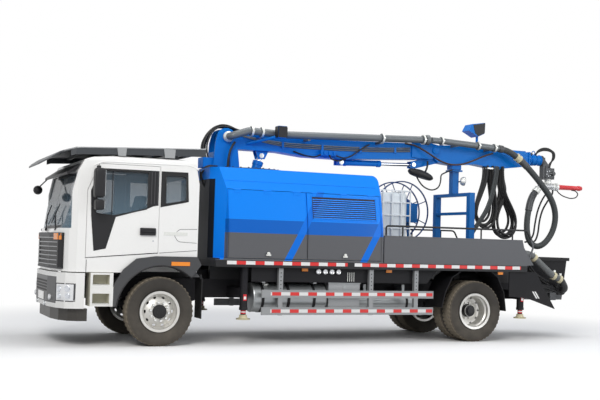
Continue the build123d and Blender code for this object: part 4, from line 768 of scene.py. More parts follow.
# How far the nose leans back at a height.
def screenTilt(z):
    return np.interp(z, nose["leanHeights"], nose["leans"])


# A strip round the nose: its four corners, inner and outer at two heights, carried between two half widths.
def noseBand(low, high, span, out, thickness, tilts=(0.0, 0.0), steps=28):
    y = np.linspace(*span, steps + 1)
    rows = []
    for z, tilt, layer in ((low, tilts[0], out), (high, tilts[1], out), (high, tilts[1], out + thickness),
                           (low, tilts[0], out + thickness)):
        a, w = nosePoint(y, layer, tilt)
        rows.append(np.stack([aft(a), w, np.full(steps + 1, z)], -1))
    return np.stack(rows, 1).reshape(-1, 3), ringFaces(steps + 1, 4)


# A strip round the nose from minus half to half, so that it is centred.
def centredBand(low, high, half, out, thickness, tilts=(0.0, 0.0)):
    return noseBand(low, high, (-half, half), out, thickness, tilts)


joined("screenBorder", [centredBand(low, high, 1.062, 0.001, 0.004, (screenTilt(low), screenTilt(high)))
                        for low, high in ((1.755, 1.800), (2.560, 2.604))], "plastic", "chassis", True)
postFoot = nosePoint(1.066, 0.004)[0] + 0.004
joined("screenPosts", [tubePart([(aft(postFoot + screenTilt(z)), side * 1.068, z)
                                 for z in (1.76, 2.05, 2.35, 2.60)], 0.011, 8) for side in (1, -1)],
       "rubber", "chassis", True)


# Each wiper has a pivot at the screen's foot, an arm and a blade that follows the glass.
def wiperParts(foot=1.735, top=1.99, reach=0.36):
    parts = []
    for y in nose["wipers"]:
        base = nosePoint(y, 0.02, screenTilt(foot))
        tip = nosePoint(y - reach, 0.03, screenTilt(top))
        parts.append(tubePart([(aft(base[0]), base[1], foot), (aft(tip[0]), tip[1], top)], 0.009, 8))
        blade = [nosePoint(y - reach + d, 0.022, screenTilt(top + h)) + (top + h,)
                 for d, h in ((-0.16, -0.15), (0.0, 0.0), (0.14, 0.14))]
        parts.append(tubePart([(aft(a), w, z) for a, w, z in blade], 0.008, 8))
        parts.append(turnedPart([(0.022, 0), (0.022, 0.03), (0.012, 0.04)],
                                (aft(base[0] + 0.02), base[1], foot), (1, 0, 0), 12))
    return parts


joined("wipers", wiperParts(), "plastic", "chassis", True)
joined("grilleSlats", [centredBand(z, z + 0.012, 0.86, 0.031, 0.008) for z in nose["slats"]], "guard",
       "chassis", True)
joined("grilleMesh", [centredBand(z, z + 0.0035, 0.84, 0.0305, 0.003) for z in
                      nose["meshFoot"] + nose["meshRise"] * np.arange(nose["meshLines"])], "iron", "chassis")
joined("grilleFrame", [centredBand(1.150, 1.172, 0.955, 0.030, 0.010),
                       centredBand(1.645, 1.686, 0.955, 0.030, 0.012)], "flare", "chassis", True)
both("cornerLamp", lambda side: [noseBand(1.585, 1.680, (side * 0.70, side * 0.94), 0.031, 0.012, steps=3)],
     "orange", "chassis")

# The bumper: its plan, as the nose's, and each headlamp's spots as its share of the corner, height and
# radius.
bumper = {"plan": [(-1.600, 0.0), (-1.600, 0.500), (-1.540, 0.900), (-1.440, 1.100), (-1.310, 1.170),
                   (-1.170, 1.185)],
          "spots": ((0.55, 0.860, 0.046), (0.73, 0.865, 0.044), (0.56, 0.755, 0.042), (0.74, 0.760, 0.040))}


# A place along the corner from its front at 0 to its side at 1, pushed out along the run's normal.
def bumperPoint(share, out):
    a, w = np.array(bumper["plan"][1:]).T
    size = np.hypot(np.diff(a), np.diff(w))
    gone = np.concatenate([[0], np.cumsum(size)])
    reach = share * gone[-1]
    span = np.clip(np.searchsorted(gone, reach - 1e-9) - 1, 0, len(size) - 1)
    runA, runW = np.diff(a)[span] / size[span], np.diff(w)[span] / size[span]
    ahead = reach - gone[span]
    return a[span] + runA * ahead - runW * out, w[span] + runW * ahead + runA * out


# A patch on the bumper's corner. Its push grows from its rim: out (0.25 + 0.75 (sin u sin v) ** 0.4).
def cornerPatch(shares, heights, out, side, steps=8):
    step = np.linspace(0, 1, steps + 1)
    share, z = (start + (end - start) * step for start, end in (shares, heights))
    share, z = np.meshgrid(share, z)
    swell = np.maximum(np.outer(np.sin(np.pi * step), np.sin(np.pi * step)), 0)
    a, w = bumperPoint(share, 0.001 + out * (0.25 + 0.75 * swell ** 0.4))
    return np.stack([aft(a), side * w, z], -1).reshape(-1, 3), gridFaces(steps + 1, steps + 1)


both("headlampBody", lambda side: [cornerPatch((0.44, 0.86), (0.675, 0.945), 0.008, side)], "cabin",
     "chassis", True)
both("headlampGlass", lambda side: [cornerPatch((0.47, 0.83), (0.690, 0.930), 0.018, side)], "lampWhite",
     "chassis", True)


# Rings that face along the corner's normal.
def lampRings(side):
    parts = []
    for share, z, radius in bumper["spots"]:
        a, w = bumperPoint(share, 0.016)
        farA, farW = bumperPoint(share, 0.10)
        profile = [(radius, 0), (radius, 0.010), (radius - 0.007, 0.012), (radius - 0.016, 0.004),
                   (0.0, 0.002)]
        parts.append(turnedPart(profile, (aft(a), side * w, z), (a - farA, side * (farW - w), 0), 20))
    return parts


both("lampRings", lampRings, "chrome", "chassis", True)
both("fogLamp", lambda side: [turnedPart([(0.045, 0), (0.045, 0.02), (0.030, 0.032), (0, 0.036)],
                                         (aft(-1.573), side * 0.66, 0.72), (1, 0, 0), 20)],
     "lampWhite", "chassis", True)
joined("blankPlate", [aftBox((-1.612, -1.602), (-0.24, 0.24), (0.66, 0.78))], "cab", "chassis")
# painted shade: thin dark strips on the bumper face for the shaded slots of the intake
joined("bumperIntakeShade", [aftBox((-1.603, -1.6008), (-0.47, 0.47), (0.80 + 0.045 * i, 0.828 + 0.045 * i))
                        for i in range(4)], "iron", "chassis")
both("towEye", lambda side: [turnedPart([(0.035, 0), (0.035, 0.018), (0.018, 0.018)],
                                        (aft(-1.600), side * 0.36, 0.61),
                                        (1, 0, 0), 16)], "steel", "chassis", True)

# Bumper: grey middle and dark lower dam.
bumperBands = {"middle": 0.91, "damTop": 0.640, "greyTop": 1.035, "darkTop": 0.5745,
               "grey": (0.060, 0.062, 0.068), "dark": (0.030, 0.029, 0.028)}
calc, x, y, z = coordinates(finishes["bumper"])
panel = allOf(calc, calc("LESS_THAN", calc("ABSOLUTE", y), bumperBands["middle"]),
              calc("GREATER_THAN", z, bumperBands["damTop"]), calc("LESS_THAN", z, bumperBands["greyTop"]))
layered(finishes["bumper"], [(panel, bumperBands["grey"]),
                             (calc("LESS_THAN", z, bumperBands["darkTop"]), bumperBands["dark"])])

# Steps: white panel and cream recess, and a dark flare over the wheel.
stepBands = {"flareFrom": -0.7449, "recess": 1.183, "white": (0.86, 0.86, 0.84), "cream": (0.66, 0.64, 0.53)}
calc, x, y, z = coordinates(finishes["steps"])
ahead = calc("GREATER_THAN", x, aft(stepBands["flareFrom"]))
recess = allOf(calc, ahead, calc("LESS_THAN", calc("ABSOLUTE", y), stepBands["recess"]))
layered(finishes["steps"], [(ahead, stepBands["white"]), (recess, stepBands["cream"])])
both("treads", lambda side: [aftBox((a, a + 0.023), (side * 0.985, side * 1.196), (z, z + 0.008))
                             for z in (0.650, 0.930) for a in -1.045 + 0.041 * np.arange(6)], "clamp",
     "chassis")
both("flareLamp", lambda side: [aftBox((0.135, 0.429), (side * 1.2005, side * 1.212), (1.232, 1.292))],
     "orange", "chassis")
flareTurn = np.radians(6 + 5.5 * np.arange(24))
both("flareEdge", lambda side: [tubePart([(aft(-0.695 * math.cos(t)), side * 1.196,
                                           tyre["radius"] + 0.700 * math.sin(t)) for t in flareTurn], 0.012,
                                         8)],
     "plastic", "chassis", True)
both("mudflap", lambda side: [aftBox((0.640, 0.652), (side * 0.84, side * 1.17), (0.42, 1.05)),
                              aftBox((0.62, 0.640), (side * 0.50, side * 1.16), (1.03, 1.10))],
     "rubber", "chassis")

# Mirrors: glass faces rearwards.
both("mirrorGlass", lambda side: [aftBox((-0.9648, -0.961), (side * 1.278, side * 1.418), (2.245, 2.626)),
                                  aftBox((-0.9670, -0.9635), (side * 1.288, side * 1.416), (2.058, 2.168))],
     "mirrorGlass", "cab_door_{side}")

# Canopy: a bead along its edge, in columns of metres aft, half width and height, and ribs under it.
canopyEdge = [(0.655, 1.1205, 3.053), (-0.700, 1.1205, 2.991), (-1.354, 1.1205, 2.959), (-1.575, 1.05, 2.889),
              (-1.788, 0.482, 2.739)]
joined("canopyRim", [tubePart([(aft(a), side * w, z) for a, w, z in canopyEdge], 0.010, 8)
                     for side in (1, -1)]
       + [tubePart([(aft(-1.789), -0.48, 2.732), (aft(-1.789), 0.48, 2.732)], 0.010, 8)],
       "guard", "chassis", True)
joined("canopyRibs", [aftBox((a, a + 0.05), (-1.09, 1.09), (z, z + 0.030))
                      for a, z in ((-1.1, 2.925), (-0.55, 2.925), (0.0, 2.925), (0.5, 2.960))],
       "canopy", "chassis")
print("cab trim", len(made))

# The enclosure's skin narrows with height. Its service doors span the same distances on both sides, and
# their panels bend at two heights. The louvre is in the rear door.
skin = {"heights": (1.345, 1.770, 1.985, 2.453, 2.810), "widths": (1.225, 1.225, 1.200, 1.103, 0.950)}
serviceDoor = {"spans": {"front": (1.042, 2.386), "rear": (2.398, 3.740)},
               "bends": (1.374, 1.770, 1.985, 2.450),
               "edge": 0.012, "inset": 0.002, "latchHeight": 1.452, "hingeInset": 0.16, "hingeHalf": 0.055,
               "hingeHeights": (2.405, 2.448)}
louvre = {"blades": 10, "foot": 2.040, "rise": 0.034, "inset": 0.10, "out": 0.012}


# Half width of the enclosure's skin at a height.
def slopeWidth(z):
    return np.interp(z, skin["heights"], skin["widths"])


# A flat strip laid on the sloping skin between two heights.
def skinStrip(a0, a1, z0, z1, side, out=0.001, thickness=0.004):
    layer, a, z = np.meshgrid((out, out + thickness), (a0, a1), (z0, z1), indexing="ij")
    return np.stack([aft(a), side * (slopeWidth(z) + layer), z], -1).reshape(-1, 3), boxFaces


# A turned disc at the latch height, a plate below its middle and a grip on the plate.
def doorLatch(middle, side):
    high = serviceDoor["latchHeight"]
    return [turnedPart([(0.026, 0), (0.026, 0.006), (0.018, 0.010), (0.0, 0.010)],
                       (aft(middle), side * 1.2385, high), (0, side, 0), 20),
            aftBox((middle - 0.040, middle + 0.040), (side * 1.2385, side * 1.246),
                   (high - 0.037, high - 0.012)),
            aftBox((middle - 0.012, middle + 0.012), (side * 1.246, side * 1.262),
                   (high - 0.030, high + 0.018))]


# Three hinges, one inset from each end and one half way: a knuckle and a leaf on the skin.
def doorHinges(start, end, side):
    places = (start + serviceDoor["hingeInset"], (start + end) / 2, end - serviceDoor["hingeInset"])
    knuckles = [turnedPart([(0.010, -0.062), (0.010, 0.062)], (aft(a), side * 1.1045, 2.4535), (1, 0, 0), 12)
                for a in places]
    half, (low, high) = serviceDoor["hingeHalf"], serviceDoor["hingeHeights"]
    return knuckles + [skinStrip(a - half, a + half, low, high, side, 0.0, 0.005) for a in places]


# A folded edge up both ends of a door and along its foot.
def doorEdge(start, end, side):
    inset, foot = serviceDoor["inset"], serviceDoor["bends"][0]
    wide = inset + serviceDoor["edge"]
    panels = list(zip(serviceDoor["bends"], serviceDoor["bends"][1:]))
    ends = [skinStrip(a0, a1, z0, z1, side, 0.0, 0.003)
            for a0, a1 in ((start + inset, start + wide), (end - wide, end - inset)) for z0, z1 in panels]
    return ends + [skinStrip(start + wide, end - wide, foot, foot + serviceDoor["edge"], side, 0.0, 0.003)]


# Each blade is a sheet that leans out and down.
def louvreBlades(start, end, side):
    parts = []
    for z in louvre["foot"] + louvre["rise"] * np.arange(louvre["blades"]):
        wide = slopeWidth(z + 0.014)
        a0, a1 = aft(start + louvre["inset"]), aft(end - louvre["inset"])
        inner, outer = side * (wide + 0.001), side * (wide + louvre["out"])
        top = [(a0, inner, z + 0.0165), (a1, inner, z + 0.0165), (a1, outer, z + 0.003),
               (a0, outer, z + 0.003)]
        parts.append(prismPart(top, np.array(top) - (0, 0, 0.004)))
    return parts


# Four strips on the skin round the louvre, two upright and two level.
def louvreFrame(start, end, side):
    spans = ((start + 0.075, start + 0.088, 2.020, 2.400), (end - 0.088, end - 0.075, 2.020, 2.400),
             (start + 0.075, end - 0.075, 2.012, 2.024), (start + 0.075, end - 0.075, 2.396, 2.408))
    return [skinStrip(*span, side, 0.0, 0.006) for span in spans]


for sideName, side in trackSide.items():
    for span, (start, end) in serviceDoor["spans"].items():
        body, ending = f"service_door_{span}_{sideName}", f"{span}_{sideName}"
        joined(f"doorLatch_{ending}", doorLatch((start + end) / 2, side), "clamp", body, True)
        joined(f"doorHinges_{ending}", doorHinges(start, end, side), "box", body)
        joined(f"doorEdge_{ending}", doorEdge(start, end, side), "box", body)
    start, end = serviceDoor["spans"]["rear"]
    body = f"service_door_rear_{sideName}"
    joined(f"louvreBlades_{sideName}", louvreBlades(start, end, side), "box", body)
    joined(f"louvreFrame_{sideName}", louvreFrame(start, end, side), "box", body)
    # painted shade: a thin black sheet behind the louvre blades for the dark openings between them
    joined(f"louvrePaintedShade_{sideName}", [skinStrip(start + 0.092, end - 0.092, 2.036, 2.392, side, 0.0004,
                                                0.0012)],
           "plastic", body)
both("roofSeam", lambda side: [aftTube([(a, side * 1.0425, 2.600) for a in (0.995, 3.70)], 0.004, 6)], "box",
     "chassis")

# Deck: tape along its edge, markers and lamps below it, and the side panels' frames.
deckEdge = {"tapeSpans": ((1.024, 3.120), (3.250, 6.560)), "tapeHeights": (1.272, 1.328),
            "guardSpan": (1.790, 4.77), "guardRails": (0.480, 0.755), "markers": (2.40, 3.95),
            "markerHeights": (1.178, 1.224), "workLamps": (2.64, 2.76, 2.88, 3.00),
            "posts": (1.960, 3.590, 4.450)}
both("deckTape", lambda side: [aftBox(span, (side * 1.2255, side * 1.2275), deckEdge["tapeHeights"])
                               for span in deckEdge["tapeSpans"]], "tape", "chassis")
both("guardTape", lambda side: [aftBox(deckEdge["guardSpan"], (side * 1.1855, side * 1.188),
                                       (low + 0.032, low + 0.086)) for low in deckEdge["guardRails"]],
     "tape", "chassis")
both("sideMarkers", lambda side: [aftBox((a - 0.052, a + 0.052), (side * 1.112, side * 1.132),
                                         deckEdge["markerHeights"]) for a in deckEdge["markers"]]
     + [aftBox((6.10, 6.20), (side * 1.181, side * 1.199), deckEdge["markerHeights"])], "orange", "chassis")
bulbProfile = [(0.040, 0), (0.044, 0.028), (0.040, 0.036), (0.030, 0.028), (0.0, 0.022)]
both("workLamps", lambda side: [turnedPart(bulbProfile, (aft(a), side * 1.111, 1.175), (0, side, 0), 20)
                                for a in deckEdge["workLamps"]], "lampWhite", "chassis", True)
both("skirtVents", lambda side: [aftBox((a, a + 0.008), (side * 1.1102, side * 1.113), (1.02, 1.17))
                                 for a in 3.18 + 0.038 * np.arange(4)], "clamp", "chassis")
both("panelFrame", lambda side: [aftBox(a, (side * 1.2252, side * 1.2285), z) for a, z in (
    ((3.797, 3.809), (1.35, 1.795)), ((3.797, 6.585), (1.786, 1.798)), ((3.797, 6.66), (1.346, 1.356)))],
    "deckPanel", "chassis")


# A channel for each post: a back and two flanges.
def guardPosts(side):
    parts = []
    for a in deckEdge["posts"]:
        parts.append(aftBox((a - 0.034, a + 0.034), (side * 1.112, side * 1.1135), (0.60, 1.225)))
        parts += [aftBox((a + edge, a + edge + 0.006), (side * 1.1132, side * 1.1865), (0.475, 1.225))
                  for edge in (-0.036, 0.030)]
    return parts


both("guardPosts", guardPosts, "guard", "chassis")
# painted shade: black discs on the posts for the dark inside of their holes
both("postHoleShade", lambda side: [turnedPart([(0.010, 0), (0.010, 0.0012), (0.0, 0.0012)],
                                           (aft(a), side * 1.1852, 0.90 + 0.062 * i), (0, side, 0), 12)
                                for a in deckEdge["posts"] for i in range(5)], "black", "chassis")
both("guardLips", lambda side: [aftBox((1.64, 4.79), (side * 1.150, side * 1.1862),
                                       (low + e, low + e + 0.004))
                                for low in deckEdge["guardRails"] for e in (-0.0042, 0.1152)], "guard",
     "chassis")
both("hangers", lambda side: [aftBox((a - 0.028, a + 0.028), (side * 0.94, side * 1.092), (0.98, 1.226))
                              for a in (1.70, 2.60)], "guard", "chassis")

# Guard rails share a node with the skirts and mudguards: grey metal only where the rails are.
railBand = {"side": 1.112, "start": 1.63, "end": 4.80, "top": 1.2225, "grey": (0.34, 0.35, 0.36)}
calc, x, y, z = coordinates(finishes["skirt"])
rails = allOf(calc, calc("GREATER_THAN", calc("ABSOLUTE", y), railBand["side"]),
              calc("LESS_THAN", x, aft(railBand["start"])), calc("GREATER_THAN", x, aft(railBand["end"])),
              calc("LESS_THAN", z, railBand["top"]))
layered(finishes["skirt"], [(rails, railBand["grey"])])


# A flat band round a tank between two radii.
def tankBand(inner, outer, half, centre, segments):
    return turnedPart([(inner, -half), (outer, -half), (outer, half), (inner, half)], centre, (1, 0, 0),
                      segments)


# Fuel tank: straps and cap; ends with pressed rims. Air tanks have two bands each.
fuelTank = {"centre": (0.85, 0.74), "straps": (1.70, 2.15, 2.60), "ends": ((1.572, 1), (2.798, -1))}
airTanks = {"bands": (3.70, 4.45), "left": (0.152, 0.157, 0.73), "right": (0.191, 0.197, -0.80),
            "height": 0.66}
joined("tankStraps", [tankBand(0.2365, 0.2445, 0.024, (aft(a), *fuelTank["centre"]), 40)
                      for a in fuelTank["straps"]], "black", "chassis", True)
joined("tankEnds", [turnedPart([(0.236, 0.0), (0.240, 0.010), (0.232, 0.026), (0.150, 0.034), (0.0, 0.036)],
                               (aft(a), *fuelTank["centre"]), (way, 0, 0),
                               40) for a, way in fuelTank["ends"]],
       "tank", "chassis", True)
joined("tankCap", [turnedPart([(0.045, 0.0), (0.045, 0.030), (0.038, 0.042), (0.0, 0.044)],
                              (aft(1.78), 0.965, 0.945), (0, 0.5, 0.87), 24)], "clamp", "chassis", True)
joined("toolBox", [aftBox((2.865, 3.44), (0.80, 1.06), (0.56, 0.985))], "guard", "chassis")
joined("toolBoxLid", [aftBox((2.855, 3.45), (0.79, 1.068), (0.985, 1.000)),
                      aftBox((3.13, 3.18), (1.060, 1.070), (0.90, 0.95))], "tank", "chassis")
joined("airTankBands", [tankBand(inner, outer, 0.02, (aft(a), y, airTanks["height"]), 32)
                        for inner, outer, y in (airTanks["left"],
                                                airTanks["right"]) for a in airTanks["bands"]],
       "black", "chassis", True)
print("deck trim", len(made))

# Jacks: a red and white label on the leg, a cream foot, a collar on the sleeve and a plate beside it.
jack = {"places": (("front", 1.370), ("rear", 6.660)), "side": 1.080,
        "foot": [(0.112, 0.399), (0.113, 0.405), (0.113, 0.414), (0.085, 0.422), (0.064, 0.436),
                 (0.063, 0.470), (0.0495, 0.476)],
        "collar": [(0.064, 0.552), (0.069, 0.552), (0.069, 0.592), (0.064, 0.592)]}


# A label round the leg between two heights.
def legBand(centre, low, high, radius):
    return turnedPart([(0.0436, low), (radius, low), (radius, high), (0.0436, high)], centre, (0, 0, 1), 24)


for endName, place in jack["places"]:
    for sideName, side in trackSide.items():
        ending = f"{endName}_{sideName}"
        body = f"jack_{ending}"
        centre = (aft(place), side * jack["side"], 0.0)
        joined(f"jackFoot_{ending}", [turnedPart(jack["foot"], centre, (0, 0, 1), 32)], "cream", body, True)
        joined(f"jackLabel_{ending}", [legBand(centre, 0.492, 0.512, 0.0442),
                                       legBand(centre, 0.530, 0.546, 0.0442)], "red", body, True)
        joined(f"jackBand_{ending}", [legBand(centre, 0.5125, 0.5295, 0.0441)], "cab", body, True)
        joined(f"jackCollar_{ending}", [turnedPart(jack["collar"], centre, (0, 0, 1), 28)], "black",
               "chassis", True)
        joined(f"jackPlate_{ending}", [aftBox((place - 0.028, place + 0.028), (side * 1.143, side * 1.1455),
                                              (0.70, 0.80))], "red", "chassis")
        joined(f"jackPlateWhite_{ending}", [aftBox((place - 0.020, place + 0.020),
                                                   (side * 1.1455, side * 1.1465),
                                                   (0.72, 0.765))], "cab", "chassis")
print("jacks", len(made))


# A two-part pipe clamp with its bolt lugs.
def clampParts(a, y, z, radius, width=0.034):
    half = width / 2
    band = [(radius, -half), (radius + 0.010, -half), (radius + 0.010, half), (radius, half)]
    lugs = [boxPart((aft(a) - half, aft(a) + half), (y + lean * radius, y + lean * (radius + 0.026)),
                    (z - 0.011, z + 0.011)) for lean in (-1, 1)]
    return [turnedPart(band, (aft(a), y, z), (1, 0, 0), 28), *lugs]


# The boom's pins in metres aft and height: the lift pivot, the arm's fold pin and the cylinders' eyes.
boomPins = {"pivot": (1.330, 3.380), "fold": (5.400, 3.420), "liftFoot": (1.716, 2.160),
            "liftEye": (1.990, 3.110), "foldFoot": (3.500, 3.085), "foldEye": (4.980, 3.130)}
pinCap = {"pivot": [(0.086, 0.0), (0.086, 0.012), (0.070, 0.016), (0.0, 0.016)],
          "pivotRing": [(0.080, 0.0), (0.080, 0.006)],
          "fold": [(0.078, 0.0), (0.078, 0.014), (0.055, 0.020), (0.0, 0.020)],
          "eye": [(0.042, 0.0), (0.042, 0.014), (0.0, 0.018)],
          "lever": [(0.040, 0.0), (0.040, 0.016), (0.0, 0.020)]}
pipeRun = {"boomClamps": ((1.702, 3.488), (1.885, 3.483), (4.180, 3.538), (5.020, 3.567)),
           "armClamps": ((5.410, 3.570), (6.200, 3.535), (6.560, 3.518)),
           "saddles": ((1.885, 3.392), (4.180, 3.455)),
           "collar": [(0.064, 0.006), (0.082, 0.010), (0.092, 0.030), (0.090, 0.062), (0.072, 0.082),
                      (0.063, 0.100)],
           "coupling": [(0.0635, -0.02), (0.086, -0.012), (0.094, 0.02), (0.094, 0.055), (0.078, 0.062),
                        (0.0635, 0.07)]}


# A cap on each end of a pin that lies across the boom, at its half length.
def pinCaps(profile, pin, half, segments):
    a, z = boomPins[pin]
    return [turnedPart(profile, (aft(a), way * half, z), (0, way, 0), segments) for way in (1, -1)]


pivot, height = aft(boomPins["pivot"][0]), boomPins["pivot"][1]
joined("boomClamps", [part for a, z in pipeRun["boomClamps"] for part in clampParts(a, 0.337, z, 0.0795)],
       "clamp", "main_boom", True)
joined("armClamps", [part for a, z in pipeRun["armClamps"] for part in clampParts(a, 0.330, z, 0.0695)],
       "clamp", "second_arm", True)
joined("pipeCollar", [turnedPart(pipeRun["collar"], (pivot, 0.182, height), (0, 1, 0), 36)], "clamp",
       "main_boom", True)
joined("pipeSaddles", [aftBox((a - 0.03, a + 0.03), (0.125, 0.300), (z, z + 0.022))
                       for a, z in pipeRun["saddles"]], "boom", "main_boom")
# The boom's pipe ends in a heavy coupling that meets the arm's pipe at the fold.
joined("foldCoupling", [turnedPart(pipeRun["coupling"], (aft(5.080), 0.330, 3.5700), (-1, 0, 0), 36)], "pipe",
       "main_boom", True)
joined("pivotCaps", [turnedPart(pinCap["pivot"], (pivot, -0.176, height), (0, -1, 0), 32),
                     turnedPart(pinCap["pivotRing"], (pivot, 0.1765, height), (0, 1, 0), 32)], "boom",
       "turret", True)
joined("foldCaps", pinCaps(pinCap["fold"], "fold", 0.156, 32), "boom", "main_boom", True)
joined("eyePins", pinCaps(pinCap["eye"], "liftEye", 0.080, 24) + pinCaps(pinCap["eye"], "foldFoot", 0.095,
                                                                         24),
       "steel", "main_boom", True)
joined("leverPins", pinCaps(pinCap["lever"], "foldEye", 0.075, 24), "steel", "second_arm", True)


# The gland ring at the mouth of a cylinder and the welded ring at its base. Pins are named places.
def glandParts(foot, eye, length, radius):
    start, end = (Vector((aft(boomPins[pin][0]), 0, boomPins[pin][1])) for pin in (foot, eye))
    run = (end - start).normalized()
    mouth = [(radius, -0.075), (radius + 0.010, -0.070), (radius + 0.010, -0.008), (radius - 0.006, 0.0)]
    base = [(radius, 0.0), (radius + 0.007, 0.004), (radius + 0.007, 0.040), (radius, 0.044)]
    return [turnedPart(mouth, start + run * length, run, 32), turnedPart(base, start + run * 0.09, run, 32)]


liftLength = math.dist(boomPins["liftEye"], boomPins["liftFoot"]) - 0.095
joined("liftGland", glandParts("liftFoot", "liftEye", liftLength, 0.0828), "boom", "lift_barrel", True)
joined("foldGland", glandParts("foldFoot", "foldEye", 0.830, 0.0503), "boom", "fold_barrel", True)
# Load valve and its pipe on the fold barrel.
joined("foldValve", [aftBox((3.60, 3.72), (0.030, 0.095), (3.135, 3.155)),
                     aftTube([(3.70, 0.060, 3.150), (3.95, 0.066, 3.142), (4.25, 0.066, 3.152)], 0.010, 8)],
       "boom", "fold_barrel", True)

# Lamps: dark faces with ribbed backs on the boom and the arm, and a round rest lamp behind the pillar.
# Outlines are in columns aft and height, and the round lamp's profile is its radius and distance.
boomLamps = {"armFace": ((6.480, 3.822), (6.487, 3.998), (6.500, 3.996), (6.493, 3.820)),
             "armBody": [(6.225, 3.952), (6.486, 4.004), (6.476, 3.806), (6.342, 3.745), (6.270, 3.80)],
             "rest": [(0.010, 0.0), (0.060, 0.010), (0.082, 0.050), (0.084, 0.090), (0.070, 0.100),
                      (0.0, 0.104)]}
joined("boomLampFace", [aftBox((2.088, 2.0998), (0.422, 0.553), (3.398, 3.582)),
                        aftBox((2.10, 2.25), (0.5602, 0.566), (3.396, 3.584))], "plastic", "main_boom")
joined("boomLampRibs", [aftBox((2.2502, 2.262), (y, y + 0.008), (3.41, 3.57))
                        for y in 0.425 + 0.025 * np.arange(6)], "plastic", "main_boom")
joined("armLampFace", [prismPart(*[[(aft(a), y, z) for a, z in boomLamps["armFace"]] for y in (-0.112,
                                                                                               0.112)])],
       "plastic", "second_arm")
joined("armLampBody", [sidePlate(boomLamps["armBody"], [], 0.1203, 0.004, way) for way in (1, -1)], "plastic",
       "second_arm")
joined("restLamp", [turnedPart(boomLamps["rest"], (aft(5.99), 0.07, 2.885), (-0.9, 0.35, -0.1), 20)], "clamp",
       "chassis", True)
joined("restLampArm", [aftTube([(5.955, 0.05, 2.86), (6.00, 0.06, 2.875)], 0.012, 8)], "black", "chassis",
       True)

# The oval lamp that hangs under the boom: half sizes, its flat underside, lean in degrees and place.
beacon = {"half": (0.27, 0.11, 0.085), "flat": -0.055, "lean": 14, "place": (5.06, 0.20, 2.945)}


# An ellipsoid cut flat below: u = long cos p cos t, v = wide cos p sin t and w = tall sin p. It leans in u
# and w.
def ovalLamp(rings=10, steps=28):
    long, wide, tall = beacon["half"]
    a, y, z = beacon["place"]
    lean = math.radians(beacon["lean"])
    rise = np.linspace(-np.pi / 2, np.pi / 2, rings + 1)[:, None]
    turn = 2 * np.pi * np.arange(steps)[None, :] / steps
    u, v = long * np.cos(rise) * np.cos(turn), wide * np.cos(rise) * np.sin(turn)
    w = np.maximum(tall * np.sin(rise), beacon["flat"]) + 0 * turn
    points = np.stack([aft(a) + u * math.cos(lean) - w * math.sin(lean), y + v,
                       z + w * math.cos(lean) + u * math.sin(lean)], -1)
    return points.reshape(-1, 3), ringFaces(rings + 1, steps)[:-2]


# Thin hoses and pipes of the boom, in columns aft, y and z. The sag hose is brown and crosses the fold.
boomHoses = {
    "stalk": [(5.16, 0.20, 3.00), (5.22, 0.17, 3.10), (5.24, 0.135, 3.20)],
    "lead": [(4.985, 0.10, 3.06), (5.00, 0.16, 2.90), (5.10, 0.21, 2.73), (5.28, 0.23, 2.66),
             (5.44, 0.22, 2.72),
             (5.50, 0.19, 2.86), (5.52, 0.15, 2.97), (5.66, 0.13, 3.03), (5.78, 0.125, 3.08)],
    "sag": [(4.74, 0.165, 3.50), (4.95, 0.20, 3.47), (5.18, 0.27, 3.34), (5.38, 0.29, 3.22),
            (5.62, 0.285, 3.15),
            (5.90, 0.27, 3.17), (6.18, 0.245, 3.27), (6.42, 0.225, 3.37), (6.62, 0.20, 3.43)],
    "line": [(2.3, 0.142, 3.345), (3.4, 0.142, 3.350), (4.3, 0.142, 3.380), (4.86, 0.150, 3.420)],
    "clips": ((2.35, 3.345), (3.10, 3.348), (3.85, 3.362), (4.55, 3.395)),
    "valve": ([(3.07, 0.20, 3.20), (2.95, 0.19, 3.135), (2.78, 0.17, 3.150), (2.55, 0.150, 3.215)],
              [(3.33, 0.20, 3.19), (3.50, 0.21, 3.14), (3.66, 0.18, 3.20), (3.85, 0.16, 3.335),
               (4.02, 0.15, 3.43)],
              [(3.20, 0.228, 3.19), (3.24, 0.225, 3.12), (3.38, 0.20, 3.09), (3.58, 0.10, 3.145)]),
}
joined("beaconShade", [ovalLamp(), aftTube(boomHoses["stalk"], 0.018, 8)], "plastic", "second_arm", True)
joined("beaconLead", [aftTube(boomHoses["lead"], 0.013, 10, 0.2)], "rubber", "second_arm", True)
joined("sagHose", [aftTube(boomHoses["sag"], 0.016, 10, 0.3)], "brown",
       ("main_boom", "second_arm", (aft(5.00), 0, 3.44), (aft(5.80), 0, 3.30)), True)


# Three pipes one above another that fan out from the pivot.
def boomLines(count=3, pitch=0.030):
    return [aftTube([(1.46, 0.128, 3.44 + 0.001 * k)] + [(a, y,
                                                          z - pitch * k) for a, y, z in boomHoses["line"]],
                    0.011, 8, 0.3) for k in range(count)]


joined("boomLines", boomLines(), "pipe", "main_boom", True)
joined("boomLineClips", [aftBox((a - 0.02, a + 0.02), (0.1305, 0.158), (z - 0.085, z + 0.02))
                         for a, z in boomHoses["clips"]], "boom", "main_boom")
joined("valveBlock", [aftBox((3.05, 3.34), (0.131, 0.215), (3.175, 3.265))]
       + [aftBox((a, a + 0.04), (0.215, 0.240), (3.19, 3.25)) for a in (3.10, 3.19, 3.28)], "boom",
       "main_boom")
joined("valveHoses", [aftTube(route, 0.013, 8, 0.15) for route in boomHoses["valve"]], "rubber", "main_boom",
       True)


# A bundle that rises in front of the left cheek and arches over the pivot.
def turretHoses(count=7, pitch=0.035):
    parts = []
    for k in range(count):
        y = pitch * (k - (count - 1) / 2)
        reach = 0.026 * (k % 3)
        route = [(1.130 - reach, 2.845), (1.020 - reach, 3.00), (0.985 - reach, 3.24),
                 (1.075 - reach * 0.5, 3.46), (1.210, 3.555 + reach * 0.6), (1.370, 3.565 + reach * 0.5),
                 (1.560, 3.515), (1.70, 3.487)]
        parts.append(aftTube([(a, y, z) for a, z in route], 0.015, 8, 0.2))
    return parts


